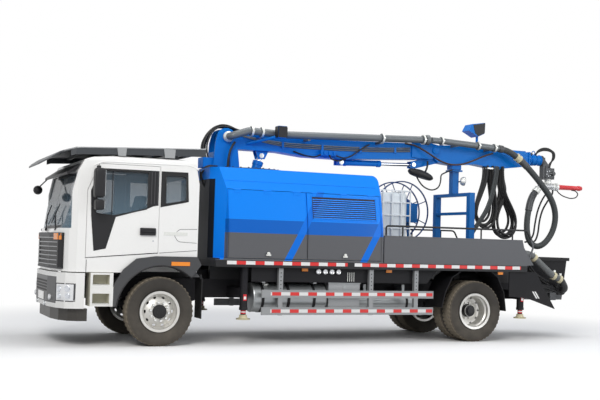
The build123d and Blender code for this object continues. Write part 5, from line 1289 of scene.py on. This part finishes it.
joined("turretHoses", turretHoses(), "rubber",
       ("turret", "main_boom", (aft(1.00), 0, 3.20), (aft(1.42), 0, 3.56)), True)
cheekRoute = [(1.330, 0.235, 2.850), (1.335, 0.240, 3.02), (1.375, 0.240, 3.19), (1.445, 0.240, 3.30)]
joined("cheekHose", [aftTube(cheekRoute, 0.020, 10, 0.2)], "rubber", "turret", True)
joined("hoseGuard", [aftBox((0.93, 1.105), (-0.13, -0.120), (2.85, 3.02)),
                     aftBox((0.93, 1.105), (0.12, 0.13), (2.85, 3.02)),
                     aftBox((0.925, 0.935), (-0.13, 0.13), (2.85, 3.02))], "boom", "turret")
joined("tableBolts", nutParts((aft(1.680), 0, 2.845), (0, 0, 1), 0.655, 32, 0.014, 0.014), "black",
       "turret")
joined("tableRim", [turnedPart([(0.7005, -0.026), (0.706, -0.022), (0.706, -0.004), (0.7005, 0.0)],
                               (aft(1.680), 0, 2.843), (0, 0, 1), 72)], "plastic", "turret", True)
# Fittings that cross from the cab's rear to the turret.
joined("servicePlumbing", [aftTube(route, radius, 8, 0.12) for route, radius in (
    ([(0.86, 0.30, 2.55), (0.82, 0.32, 2.78), (0.98, 0.30, 2.88), (1.12, 0.22, 2.865)], 0.014),
    ([(0.86, 0.40, 2.50), (0.80, 0.42, 2.74), (0.96, 0.38, 2.86), (1.14, 0.26, 2.87)], 0.014),
    ([(0.86, 0.50, 2.45), (0.78, 0.50, 2.72), (0.92, 0.46, 2.84), (1.10, 0.34, 2.865)], 0.011))],
    "rubber", "chassis", True)
print("boom trim", len(made))


# The line of a hose, read from its own NURBS spline without a bevel. Returns its points and their distances.
def hoseLine(name):
    bare = bpy.data.objects.new("bareLine", routeCurve("bareLine", hoseRoutes[name][1]))
    mesh = bpy.data.meshes.new_from_object(bare)
    points = np.zeros(len(mesh.vertices) * 3)
    mesh.vertices.foreach_get("co", points)
    curve = bare.data
    bpy.data.objects.remove(bare)
    bpy.data.meshes.remove(mesh)
    bpy.data.curves.remove(curve)
    points = points.reshape(-1, 3)
    gone = np.concatenate([[0], np.cumsum(np.linalg.norm(np.diff(points, axis=0), axis=1))])
    return points, gone


# A sleeve on a hose, with a radius for each (distance, radius) pair. A distance below 0 counts from the far
# end.
def sleeveOn(name, profile, segments=28):
    points, gone = hoseLine(name)
    stops = np.array([d if d >= 0 else gone[-1] + d for d, r in profile])
    fine = np.unique(np.concatenate([stops, np.linspace(stops[0], stops[-1], 14)]))
    curve = np.stack([np.interp(fine, gone, points[:, k]) for k in range(3)], -1)
    return tubeAlong(curve, np.interp(fine, stops, [r for d, r in profile]), segments)


couplings = {
    "middle": [(0.44, 0.058), (0.445, 0.076), (0.475, 0.078), (0.476, 0.066), (0.520, 0.066), (0.521, 0.078),
               (0.550, 0.076), (0.556, 0.058)],
    "inlet": [(-0.115, 0.060), (-0.110, 0.077), (-0.060, 0.077), (-0.05, 0.066), (-0.01, 0.072),
              (-0.004, 0.058)],
    "cuffs": [[(0.556, 0.060), (0.560, 0.067), (0.76, 0.065), (0.77, 0.059)],
              [(-0.52, 0.059), (-0.51, 0.068), (-0.16, 0.068), (-0.13, 0.060)],
              [(0.02, 0.060), (0.03, 0.070), (0.10, 0.070), (0.12, 0.060)]],
}
joined("hoseCoupling", [sleeveOn("delivery_hose", couplings["middle"])], "cream", "second_arm", True)
joined("hoseCuffs", [sleeveOn("delivery_hose", cuff) for cuff in couplings["cuffs"]], "gear", "second_arm",
       True)
joined("inletCoupling", [sleeveOn("delivery_hose", couplings["inlet"])], "clamp", "second_arm", True)


# Hanging strands beside the two main loops: the same loop, drawn out or in about its top.
def strandParts(name, shifts, radius):
    route = np.array(hoseRoutes[name][1], float) / 1000
    top = route[0, 2]
    parts = []
    for sideways, drop, spread in shifts:
        wide = route[:, 0].mean()
        bent = np.stack([wide + (route[:, 0] - wide) * spread, route[:, 1] + sideways,
                         top - (top - route[:, 2]) * drop], -1)
        bent[[0, -1], 0] = route[[0, -1], 0]
        bent[[0, -1], 2] = 3.20
        parts.append(tubePart([(aft(a), y, z) for a, y, z in bent], radius, 12))
    return parts


# Columns are the shift sideways and the factors of the drop and of the spread.
strands = {"radius": 0.024, "front": [(0.068, 1.045, 1.10), (-0.062, 0.93, 0.80)],
           "rear": [(0.070, 1.03, 1.12), (-0.066, 0.95, 0.80), (0.130, 0.98, 0.95)]}
joined("loopStrands", strandParts("arm_hoses_front", strands["front"], strands["radius"])
       + strandParts("arm_hoses_rear", strands["rear"], strands["radius"]), "rubber", "second_arm", True)
joined("loopClamps", [aftBox((a - 0.07, a + 0.07), (y - 0.09, y + 0.11), (3.135, 3.162)) for a, y in
                      ((6.61, 0.06), (6.92, -0.02))], "clamp", "second_arm")


# Three hoses side by side from under the arm down to a plug on the deck.
def deckHoses():
    route = [(6.80, 0.13, 3.19), (6.76, 0.16, 3.00), (6.67, 0.19, 2.66), (6.54, 0.22, 2.37),
             (6.36, 0.24, 2.13), (6.17, 0.25, 1.90), (6.05, 0.25, 1.62), (6.02, 0.25, 1.42)]
    return [aftTube([(a - 0.05 * k, y + 0.03 * k, z) for a, y, z in route], 0.021, 12,
                    0.25) for k in range(3)]


joined("deckHoses", deckHoses(), "delivery", "second_arm", True)
joined("deckPlug", [aftBox((5.86, 6.08), (0.20, 0.36), (1.346, 1.40))], "gear", "chassis")

# Actuator at the end of the inner arm: lifting eye, end rings, bolts and a small valve.
actuator = {"height": 3.380, "rings": (7.585, 7.735, 7.828),
            "ring": [(0.095, -0.012), (0.106, -0.010), (0.106, 0.010), (0.095, 0.012)]}
eyeTurn = np.linspace(0, 2 * np.pi, 17)
joined("liftingEye", [tubePart([(aft(7.700) + 0.034 * math.cos(t), 0.0, 3.520 + 0.036 * math.sin(t))
                                for t in eyeTurn], 0.009, 8),
                      aftBox((7.685, 7.715), (-0.012, 0.012), (3.475, 3.492))], "boom", "inner_arm", True)
joined("actuatorRings", [turnedPart(actuator["ring"], (aft(a), 0, actuator["height"]), (1, 0, 0), 36)
                         for a in actuator["rings"]], "boom", "inner_arm", True)
joined("actuatorBolts", nutParts((aft(7.546), 0, 3.39), (-1, 0, 0), 0.105, 10, 0.010, 0.010), "steel",
       "inner_arm")
joined("actuatorValve", [roundedBlock((aft(7.60), 0.0, 3.492), (0.045, 0.05, 0.028), 0.25),
                         turnedPart([(0.014, 0), (0.014, 0.03), (0.0, 0.032)], (aft(7.60), 0.05, 3.495),
                                    (0, 1, 0), 12)], "gear", "inner_arm", True)


# Hoses that arch over the actuator to the gearbox.
def actuatorHoses(count=3):
    parts = []
    for k in range(count):
        route = [(7.66, 0.108 + 0.01 * k, 3.475), (7.72, 0.105, 3.53 + 0.012 * k),
                 (7.84, 0.09, 3.575 + 0.02 * k),
                 (8.00, 0.065, 3.585 + 0.02 * k), (8.130 + 0.02 * k, 0.045, 3.55),
                 (8.145 + 0.02 * k, 0.03, 3.44),
                 (8.09, 0.03 - 0.02 * k, 3.33), (8.06, 0.03 - 0.02 * k, 3.245)]
        parts.append(aftTube(route, 0.016, 10, 0.2))
    return parts


joined("actuatorHoses", actuatorHoses(), "rubber", "head", True)

# Gearbox: a rounded case with a motor above, a plug on each side, and bolts on its cover and its mount.
gearbox = {"motor": [(0.050, 0), (0.050, 0.045), (0.036, 0.060), (0.0, 0.062)],
           "plug": [(0.040, 0), (0.040, 0.05), (0.030, 0.06), (0.0, 0.062)],
           "swivel": [(0.046, 3.002), (0.072, 3.004), (0.074, 3.020), (0.072, 3.040), (0.046, 3.042)]}
joined("gearCase", [roundedBlock((aft(8.046), 0, 3.130), (0.112, 0.084, 0.098), 0.22),
                    turnedPart(gearbox["motor"], (aft(8.00), 0, 3.228), (0, 0, 1), 24)]
       + [turnedPart(gearbox["plug"], (aft(8.10), way * 0.080, 3.13), (0, way, 0), 24) for way in (1, -1)],
       "gear", "head", True)
joined("gearBolts", [part for way in (1, -1)
                     for part in nutParts((aft(8.01), way * 0.084, 3.13), (0, way, 0), 0.050, 6, 0.009,
                                          0.008)]
       + nutParts((aft(7.8955), 0, 3.380), (1, 0, 0), 0.040, 4, 0.010, 0.008), "steel", "head")
joined("headGusset", [sidePlate([(7.942, 3.26), (8.10, 3.245), (7.942, 3.42)], [], 0.018, 0.012, way)
                      for way in (1, -1)], "gear", "head")
joined("swivel", [turnedPart(gearbox["swivel"], (aft(8.051), 0, 0), (0, 0, 1), 32)], "clamp", "head", True)

# Nozzle: silver body with clamps, a red barrel with a rounded lip and the thin water hose under it.
nozzle = {
    "height": 2.880,
    "barrel": [(0.040, 0.0), (0.052, 0.004), (0.054, 0.022), (0.0495, 0.050), (0.046, 0.30), (0.0435, 0.475),
               (0.050, 0.488), (0.052, 0.512), (0.050, 0.540), (0.043, 0.550), (0.042, 0.572),
               (0.0372, 0.576)],
    "band": [(0.058, -0.018), (0.068, -0.014), (0.070, 0.0), (0.068, 0.014), (0.058, 0.018)],
    "wideBand": [(0.060, -0.022), (0.076, -0.020), (0.076, 0.020), (0.060, 0.022)],
    "collar": [(0.062, 0), (0.072, 0.006), (0.072, 0.040), (0.062, 0.046)],
    "inlet": [(0.018, 0), (0.018, 0.05), (0.026, 0.052), (0.026, 0.075), (0.014, 0.078), (0.014, 0.095)],
    "inletPlaces": ((8.11, 1), (8.20, 1), (8.15, -1)),
    "water": [(8.20, 0.090, 2.815), (8.24, 0.10, 2.76), (8.34, 0.10, 2.705), (8.54, 0.08, 2.662),
              (8.70, 0.06, 2.688), (8.765, 0.04, 2.765), (8.72, 0.02, 2.825), (8.62, 0.01, 2.836)],
    "dosing": ([(8.11, 0.090, 2.815), (8.08, 0.11, 2.72), (7.98, 0.11, 2.60), (7.86, 0.10, 2.42),
                (7.80, 0.09, 2.20), (7.78, 0.08, 1.95), (7.72, 0.08, 1.80), (7.60, 0.10, 1.78)],
               [(8.15, -0.090, 2.815), (8.02, -0.12, 2.64), (7.90, -0.11, 2.40), (7.84, -0.10, 2.15),
                (7.80, -0.09, 1.92), (7.70, -0.08, 1.80), (7.58, -0.06, 1.78)]),
}


# A profile turned about the nozzle's own line, from a distance aft and in one of its two directions.
def onNozzle(profile, a, way, segments):
    return turnedPart(profile, (aft(a), 0, nozzle["height"]), (way, 0, 0), segments)


joined("nozzleBarrel", [onNozzle(nozzle["barrel"], 8.292, -1, 36)], "red", "nozzle", True)
# painted shade: a black disc on the closed mouth for the dark inside of the bore
joined("nozzleBoreShade", [onNozzle([(0.030, 0.0), (0.030, 0.0012)], 8.8686, -1, 28)], "plastic", "nozzle")
joined("nozzleBands", [onNozzle(nozzle["band"], a, 1, 32) for a in (7.955, 8.175)]
       + [onNozzle(nozzle["wideBand"], 8.255, 1, 32),
          turnedPart(nozzle["collar"], (aft(8.051), 0, 2.938), (0, 0, 1), 32)]
       + nutParts((aft(8.2775), 0, nozzle["height"]), (-1, 0, 0), 0.065, 8, 0.008, 0.010), "clamp", "nozzle",
       True)
joined("nozzleInlets", [turnedPart(nozzle["inlet"], (aft(a), way * 0.05, 2.862), (0, way, -0.5), 16)
                        for a, way in nozzle["inletPlaces"]], "steel", "nozzle", True)
joined("waterHose", [aftTube(nozzle["water"], 0.011, 10, 0.2)], "rubber", "nozzle", True)
joined("dosingHoses", [aftTube(route, 0.017, 10, 0.25) for route in nozzle["dosing"]], "rubber", "second_arm",
       True)

# Reel: the hose wound on its drum in rounded turns, and end rings.
reel = {"centre": (aft(5.250), 0, 2.300), "start": -1.108, "end": -0.806, "drum": 0.191, "winding": 0.245,
        "swell": 0.018, "pitch": 0.0084, "steps": 37, "rings": (-1.112, -0.802)}
turns = [(reel["winding"] + reel["swell"] * abs(math.sin(math.pi * k / 4)), reel["start"] + reel["pitch"] * k)
         for k in range(reel["steps"])]
joined("reelHose", [turnedPart([(reel["drum"], reel["start"]), *turns, (reel["drum"], reel["end"])],
                               reel["centre"], (0, 1, 0), 48)], "rubber", "hose_reel", True)
ringProfile = [(0.19, -0.006), (0.275, -0.006), (0.275, 0.006), (0.19, 0.006)]
joined("reelRings", [turnedPart(ringProfile, (aft(5.250), y, 2.300), (0, 1, 0), 48) for y in reel["rings"]],
       "reelBlue", "hose_reel", True)

# Canopy: light brackets at its edge.
bracketSpans = ((-0.745, -0.597, 2.868, 2.990), (-0.020, 0.165, 2.880, 3.018))


# Prisms from each bracket's foot to its top, narrower at the foot.
def canopyBrackets(side):
    parts = []
    for start, end, low, high in bracketSpans:
        outline = ((start + 0.02, low), (end - 0.01, low), (end, high), (start, high))
        parts.append(prismPart(*[[(aft(a), side * y, z) for a, z in outline] for y in (1.1206, 1.130)]))
    return parts


both("canopyBrackets", canopyBrackets, "guard", "chassis")

# Mirrors: rounded housings on a tube with two arms. Each block is its place aft, side, height, and half
# sizes.
mirror = {"tube": (aft(-1.050), 1.235), "blocks": (((-1.042, 1.348, 2.4355), (0.076, 0.092, 0.2195), 0.30),
                                                   ((-1.034, 1.352, 2.1125), (0.066, 0.087, 0.0775), 0.36)),
          "lugs": (2.10, 2.30, 2.60), "arms": (2.070, 2.675)}
for sideName, side in trackSide.items():
    tubeX, tubeY = mirror["tube"][0], side * mirror["tube"][1]
    parts = [roundedBlock((aft(a), side * y, z), half, power) for (a, y, z), half, power in mirror["blocks"]]
    parts.append(tubePart([(tubeX, tubeY, 2.030), (tubeX, tubeY, 2.690)], 0.014, 12))
    parts += [boxPart((tubeX - 0.012, tubeX + 0.012), (tubeY, side * 1.285), (z - 0.014, z + 0.014))
              for z in mirror["lugs"]]
    parts += [tubePart([(tubeX, tubeY, z), (aft(-1.010), side * 1.155, z)], 0.012, 10)
              for z in mirror["arms"]]
    parts += [aftBox((-1.040, -0.985), (side * 1.151, side * 1.158), (z - 0.030, z + 0.030))
              for z in mirror["arms"]]
    housing = joined(f"mirrorHousing_{sideName}", parts, "plastic", f"cab_door_{sideName}", True)
    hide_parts(f"mirror_{sideName}")

# Tail: clamps on the pump's pipe, black plumbing beside the hopper, lamps, labels and the hopper's grid.
tail = {
    "clamp": [(0.062, -0.030), (0.074, -0.026), (0.074, 0.026), (0.062, 0.030)],
    "clampPlaces": (((7.610, 1.1583), (-0.917, -0.398)), ((7.745, 1.0996), (-0.917, -0.398)),
                    ((7.160, 1.4857), (-0.795, -0.607))),
    "lugs": ((7.625, 1.226), (7.760, 1.168), (7.190, 1.545)),
    "flange": [(0.079, 0.0), (0.105, 0.004), (0.105, 0.028), (0.079, 0.032)],
    "flanges": (0.500, 0.552, 0.640),
    "plumbing": ([(7.06, 0.70, 1.18), (7.26, 0.71, 1.02), (7.52, 0.69, 0.93), (7.80, 0.67, 0.86)],
                 [(7.10, 0.66, 1.06), (7.32, 0.67, 0.89), (7.60, 0.70, 0.83), (7.84, 0.64, 0.97)],
                 [(7.16, 0.64, 1.28), (7.44, 0.66, 1.07), (7.66, 0.66, 0.96), (7.72, 0.62, 0.84)],
                 [(7.10, 0.74, 1.36), (7.22, 0.76, 1.20), (7.40, 0.72, 1.12), (7.58, 0.68, 1.05)]),
    "cylinder": [(0.050, 0.0), (0.054, 0.02), (0.045, 0.03), (0.045, 0.34), (0.052, 0.345), (0.052, 0.375),
                 (0.022, 0.380), (0.022, 0.46), (0.034, 0.462), (0.034, 0.50)],
}
joined("tailClamps", [turnedPart(tail["clamp"], (aft(a), 0.80, z), (runX, 0, runZ), 32)
                      for (a, z), (runX, runZ) in tail["clampPlaces"]], "cream", "chassis", True)
joined("tailClampLugs", [aftBox((a - 0.022, a + 0.022), (0.788, 0.812), (z, z + 0.040))
                         for a, z in tail["lugs"]], "clamp", "chassis")
joined("outletFlange", [turnedPart(tail["flange"], (aft(7.900), y, 0.900), (0, 1, 0), 32)
                        for y in tail["flanges"]], "iron", "chassis", True)
joined("tailPlumbing", [aftTube(route, 0.018, 10, 0.15) for route in tail["plumbing"]], "rubber", "chassis",
       True)
joined("tailCylinder", [turnedPart(tail["cylinder"], (aft(7.30), 0.66, 1.00), (-0.985, 0, -0.17), 24)],
       "black", "chassis", True)
joined("tailValve", [roundedBlock((aft(7.70), 0.635, 0.775), (0.075, 0.045, 0.075), 0.22),
                     roundedBlock((aft(7.52), 0.640, 0.80), (0.05, 0.04, 0.05), 0.22)], "gear", "chassis",
       True)


# Two short slanted marks beside each other.
def tailLabels(side):
    parts = []
    for start in (6.845, 6.893):
        outline = ((start, 0.885), (start + 0.030, 0.885), (start + 0.118, 0.760), (start + 0.088, 0.760))
        parts.append(prismPart(*[[(aft(a), side * y, z) for a, z in outline] for y in (1.1805, 1.182)]))
    return parts


both("tailLabel", tailLabels, "cab", "chassis")
both("rearLamp", lambda side: [aftBox((6.9005, 6.935), (side * y, side * (y + 0.100)), (1.085, 1.195))
                               for y in (0.700, 0.930)], "redLens", "chassis")
both("rearAmber", lambda side: [aftBox((6.9005, 6.935), (side * 0.815, side * 0.915), (1.085, 1.195))],
     "orange", "chassis")
joined("hopperGrid", [boxPart((aft(8.030), aft(7.070)), (y - 0.006, y + 0.006), (1.425, 1.437))
                      for y in np.linspace(-0.54, 0.54, 13)]
       + [boxPart((aft(a) - 0.006, aft(a) + 0.006), (-0.56, 0.56), (1.411, 1.425))
          for a in (7.2, 7.4, 7.6, 7.8, 7.98)],
       "guard", "chassis")
print("boom head and tail", len(made))

# The stage: a pale floor, a soft sky, three lights and the camera.
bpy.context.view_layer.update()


# Camera, glossy and transmitted rays see white; the object is lit by the duller tone.
def seenDirectly(nodes, links):
    path = nodes.new("ShaderNodeLightPath")
    first = mathNode(nodes, links, "MAXIMUM", path.outputs["Is Camera Ray"], path.outputs["Is Glossy Ray"])
    return mathNode(nodes, links, "MAXIMUM", first, path.outputs["Is Transmission Ray"])


pale = {"lit": (0.50, 0.50, 0.50), "seen": (0.95, 0.95, 0.95), "fadeStart": 5.2, "fadeEnd": 10.0, "half": 80}


# The floor fades to plain white with the distance from the origin, where it is seen directly.
def floorFinish():
    made = bpy.data.materials.new("paleFloor")
    made.use_nodes = True
    nodes, links = made.node_tree.nodes, made.node_tree.links
    calc, x, y, z = coordinates(made)
    shader = nodes["Principled BSDF"]
    shader.inputs["Roughness"].default_value = 0.9
    shader.inputs["Specular IOR Level"].default_value = 0.1
    seen = seenDirectly(nodes, links)
    links.new(colourNode(nodes, links, seen, pale["lit"], pale["seen"]), shader.inputs["Base Color"])
    reach = calc("POWER", calc("ADD", calc("POWER", x, 2), calc("POWER", y, 2)), 0.5)
    far = rangeNode(nodes, links, reach, (pale["fadeStart"], pale["fadeEnd"]), curve="SMOOTHSTEP")
    white = nodes.new("ShaderNodeEmission")
    blend = nodes.new("ShaderNodeMixShader")
    links.new(calc("MULTIPLY", far, seen), blend.inputs[0])
    links.new(shader.outputs[0], blend.inputs[1])
    links.new(white.outputs[0], blend.inputs[2])
    links.new(blend.outputs[0], nodes["Material Output"].inputs["Surface"])
    return made


half = pale["half"]
floorMesh = bpy.data.meshes.new("floor")
floorMesh.from_pydata([(-half, -half, 0), (half, -half, 0), (half, half, 0), (-half, half, 0)], [],
                      [(0, 1, 2, 3)])
floorMesh.materials.append(floorFinish())
floor = bpy.data.objects.new("floor", floorMesh)
bpy.context.scene.collection.objects.link(floor)

world = bpy.data.worlds.new("softSky")
world.use_nodes = True
bpy.context.scene.world = world
nodes, links = world.node_tree.nodes, world.node_tree.links
backdrop = nodes["Background"]
place = nodes.new("ShaderNodeTexCoord")
split = nodes.new("ShaderNodeSeparateXYZ")
links.new(place.outputs["Generated"], split.inputs[0])
ramp = nodes.new("ShaderNodeValToRGB")
ramp.color_ramp.elements[0].position = 0.46
ramp.color_ramp.elements[0].color = (0.55, 0.56, 0.57, 1)
ramp.color_ramp.elements[1].position = 0.75
ramp.color_ramp.elements[1].color = (0.92, 0.95, 1.0, 1)
links.new(split.outputs["Z"], ramp.inputs[0])
links.new(ramp.outputs[0], backdrop.inputs["Color"])
backdrop.inputs["Strength"].default_value = 0.62
white = nodes.new("ShaderNodeBackground")
white.inputs["Color"].default_value = (1, 1, 1, 1)
blend = nodes.new("ShaderNodeMixShader")
links.new(seenDirectly(nodes, links), blend.inputs[0])
links.new(backdrop.outputs[0], blend.inputs[1])
links.new(white.outputs[0], blend.inputs[2])
links.new(blend.outputs[0], nodes["World Output"].inputs["Surface"])

# Columns are the light's place, energy, size and colour. All three look at one point.
lights = {"keyLight": ((9.5, 12.0, 9.5), 1150, 6.0, (1.0, 0.98, 0.95)),
          "fillLight": ((-9.0, 11.0, 5.5), 480, 7.0, (0.95, 0.97, 1.0)),
          "topLight": ((-1.0, 1.0, 12.0), 520, 8.0, (1.0, 1.0, 1.0))}
for name, (place, energy, size, colour) in lights.items():
    light = bpy.data.lights.new(name, "AREA")
    light.energy, light.size, light.color = energy, size, colour
    lamp = bpy.data.objects.new(name, light)
    lamp.location = place
    lamp.rotation_euler = (Vector((0.3, 0, 1.3)) - Vector(place)).to_track_quat("-Z", "Y").to_euler()
    bpy.context.scene.collection.objects.link(lamp)

# The camera as recovered from the photo: place, yaw from -Y, upward pitch, roll, lens.
view = {"place": (aft(-4.13), 15.89, 1.61), "yaw": 23.46, "pitch": 2.57, "roll": 1.61, "lens": 59.52}
yaw, pitch, roll = (math.radians(view[key]) for key in ("yaw", "pitch", "roll"))
gaze = Vector((-math.sin(yaw) * math.cos(pitch), -math.cos(yaw) * math.cos(pitch), math.sin(pitch)))
level = gaze.cross(Vector((0, 0, 1))).normalized()
rise = level.cross(gaze)
across = level * math.cos(roll) + rise * math.sin(roll)
up = rise * math.cos(roll) - level * math.sin(roll)
lens = bpy.data.cameras.new("photoView")
lens.lens = view["lens"]
lens.sensor_width = 36
lens.clip_end = 300
camera = bpy.data.objects.new("photoView", lens)
turn = Matrix((across, up, -gaze)).transposed().to_4x4()
camera.matrix_world = Matrix.Translation(view["place"]) @ turn
bpy.context.scene.collection.objects.link(camera)
bpy.context.scene.camera = camera
bpy.context.scene.view_settings.view_transform = "Standard"
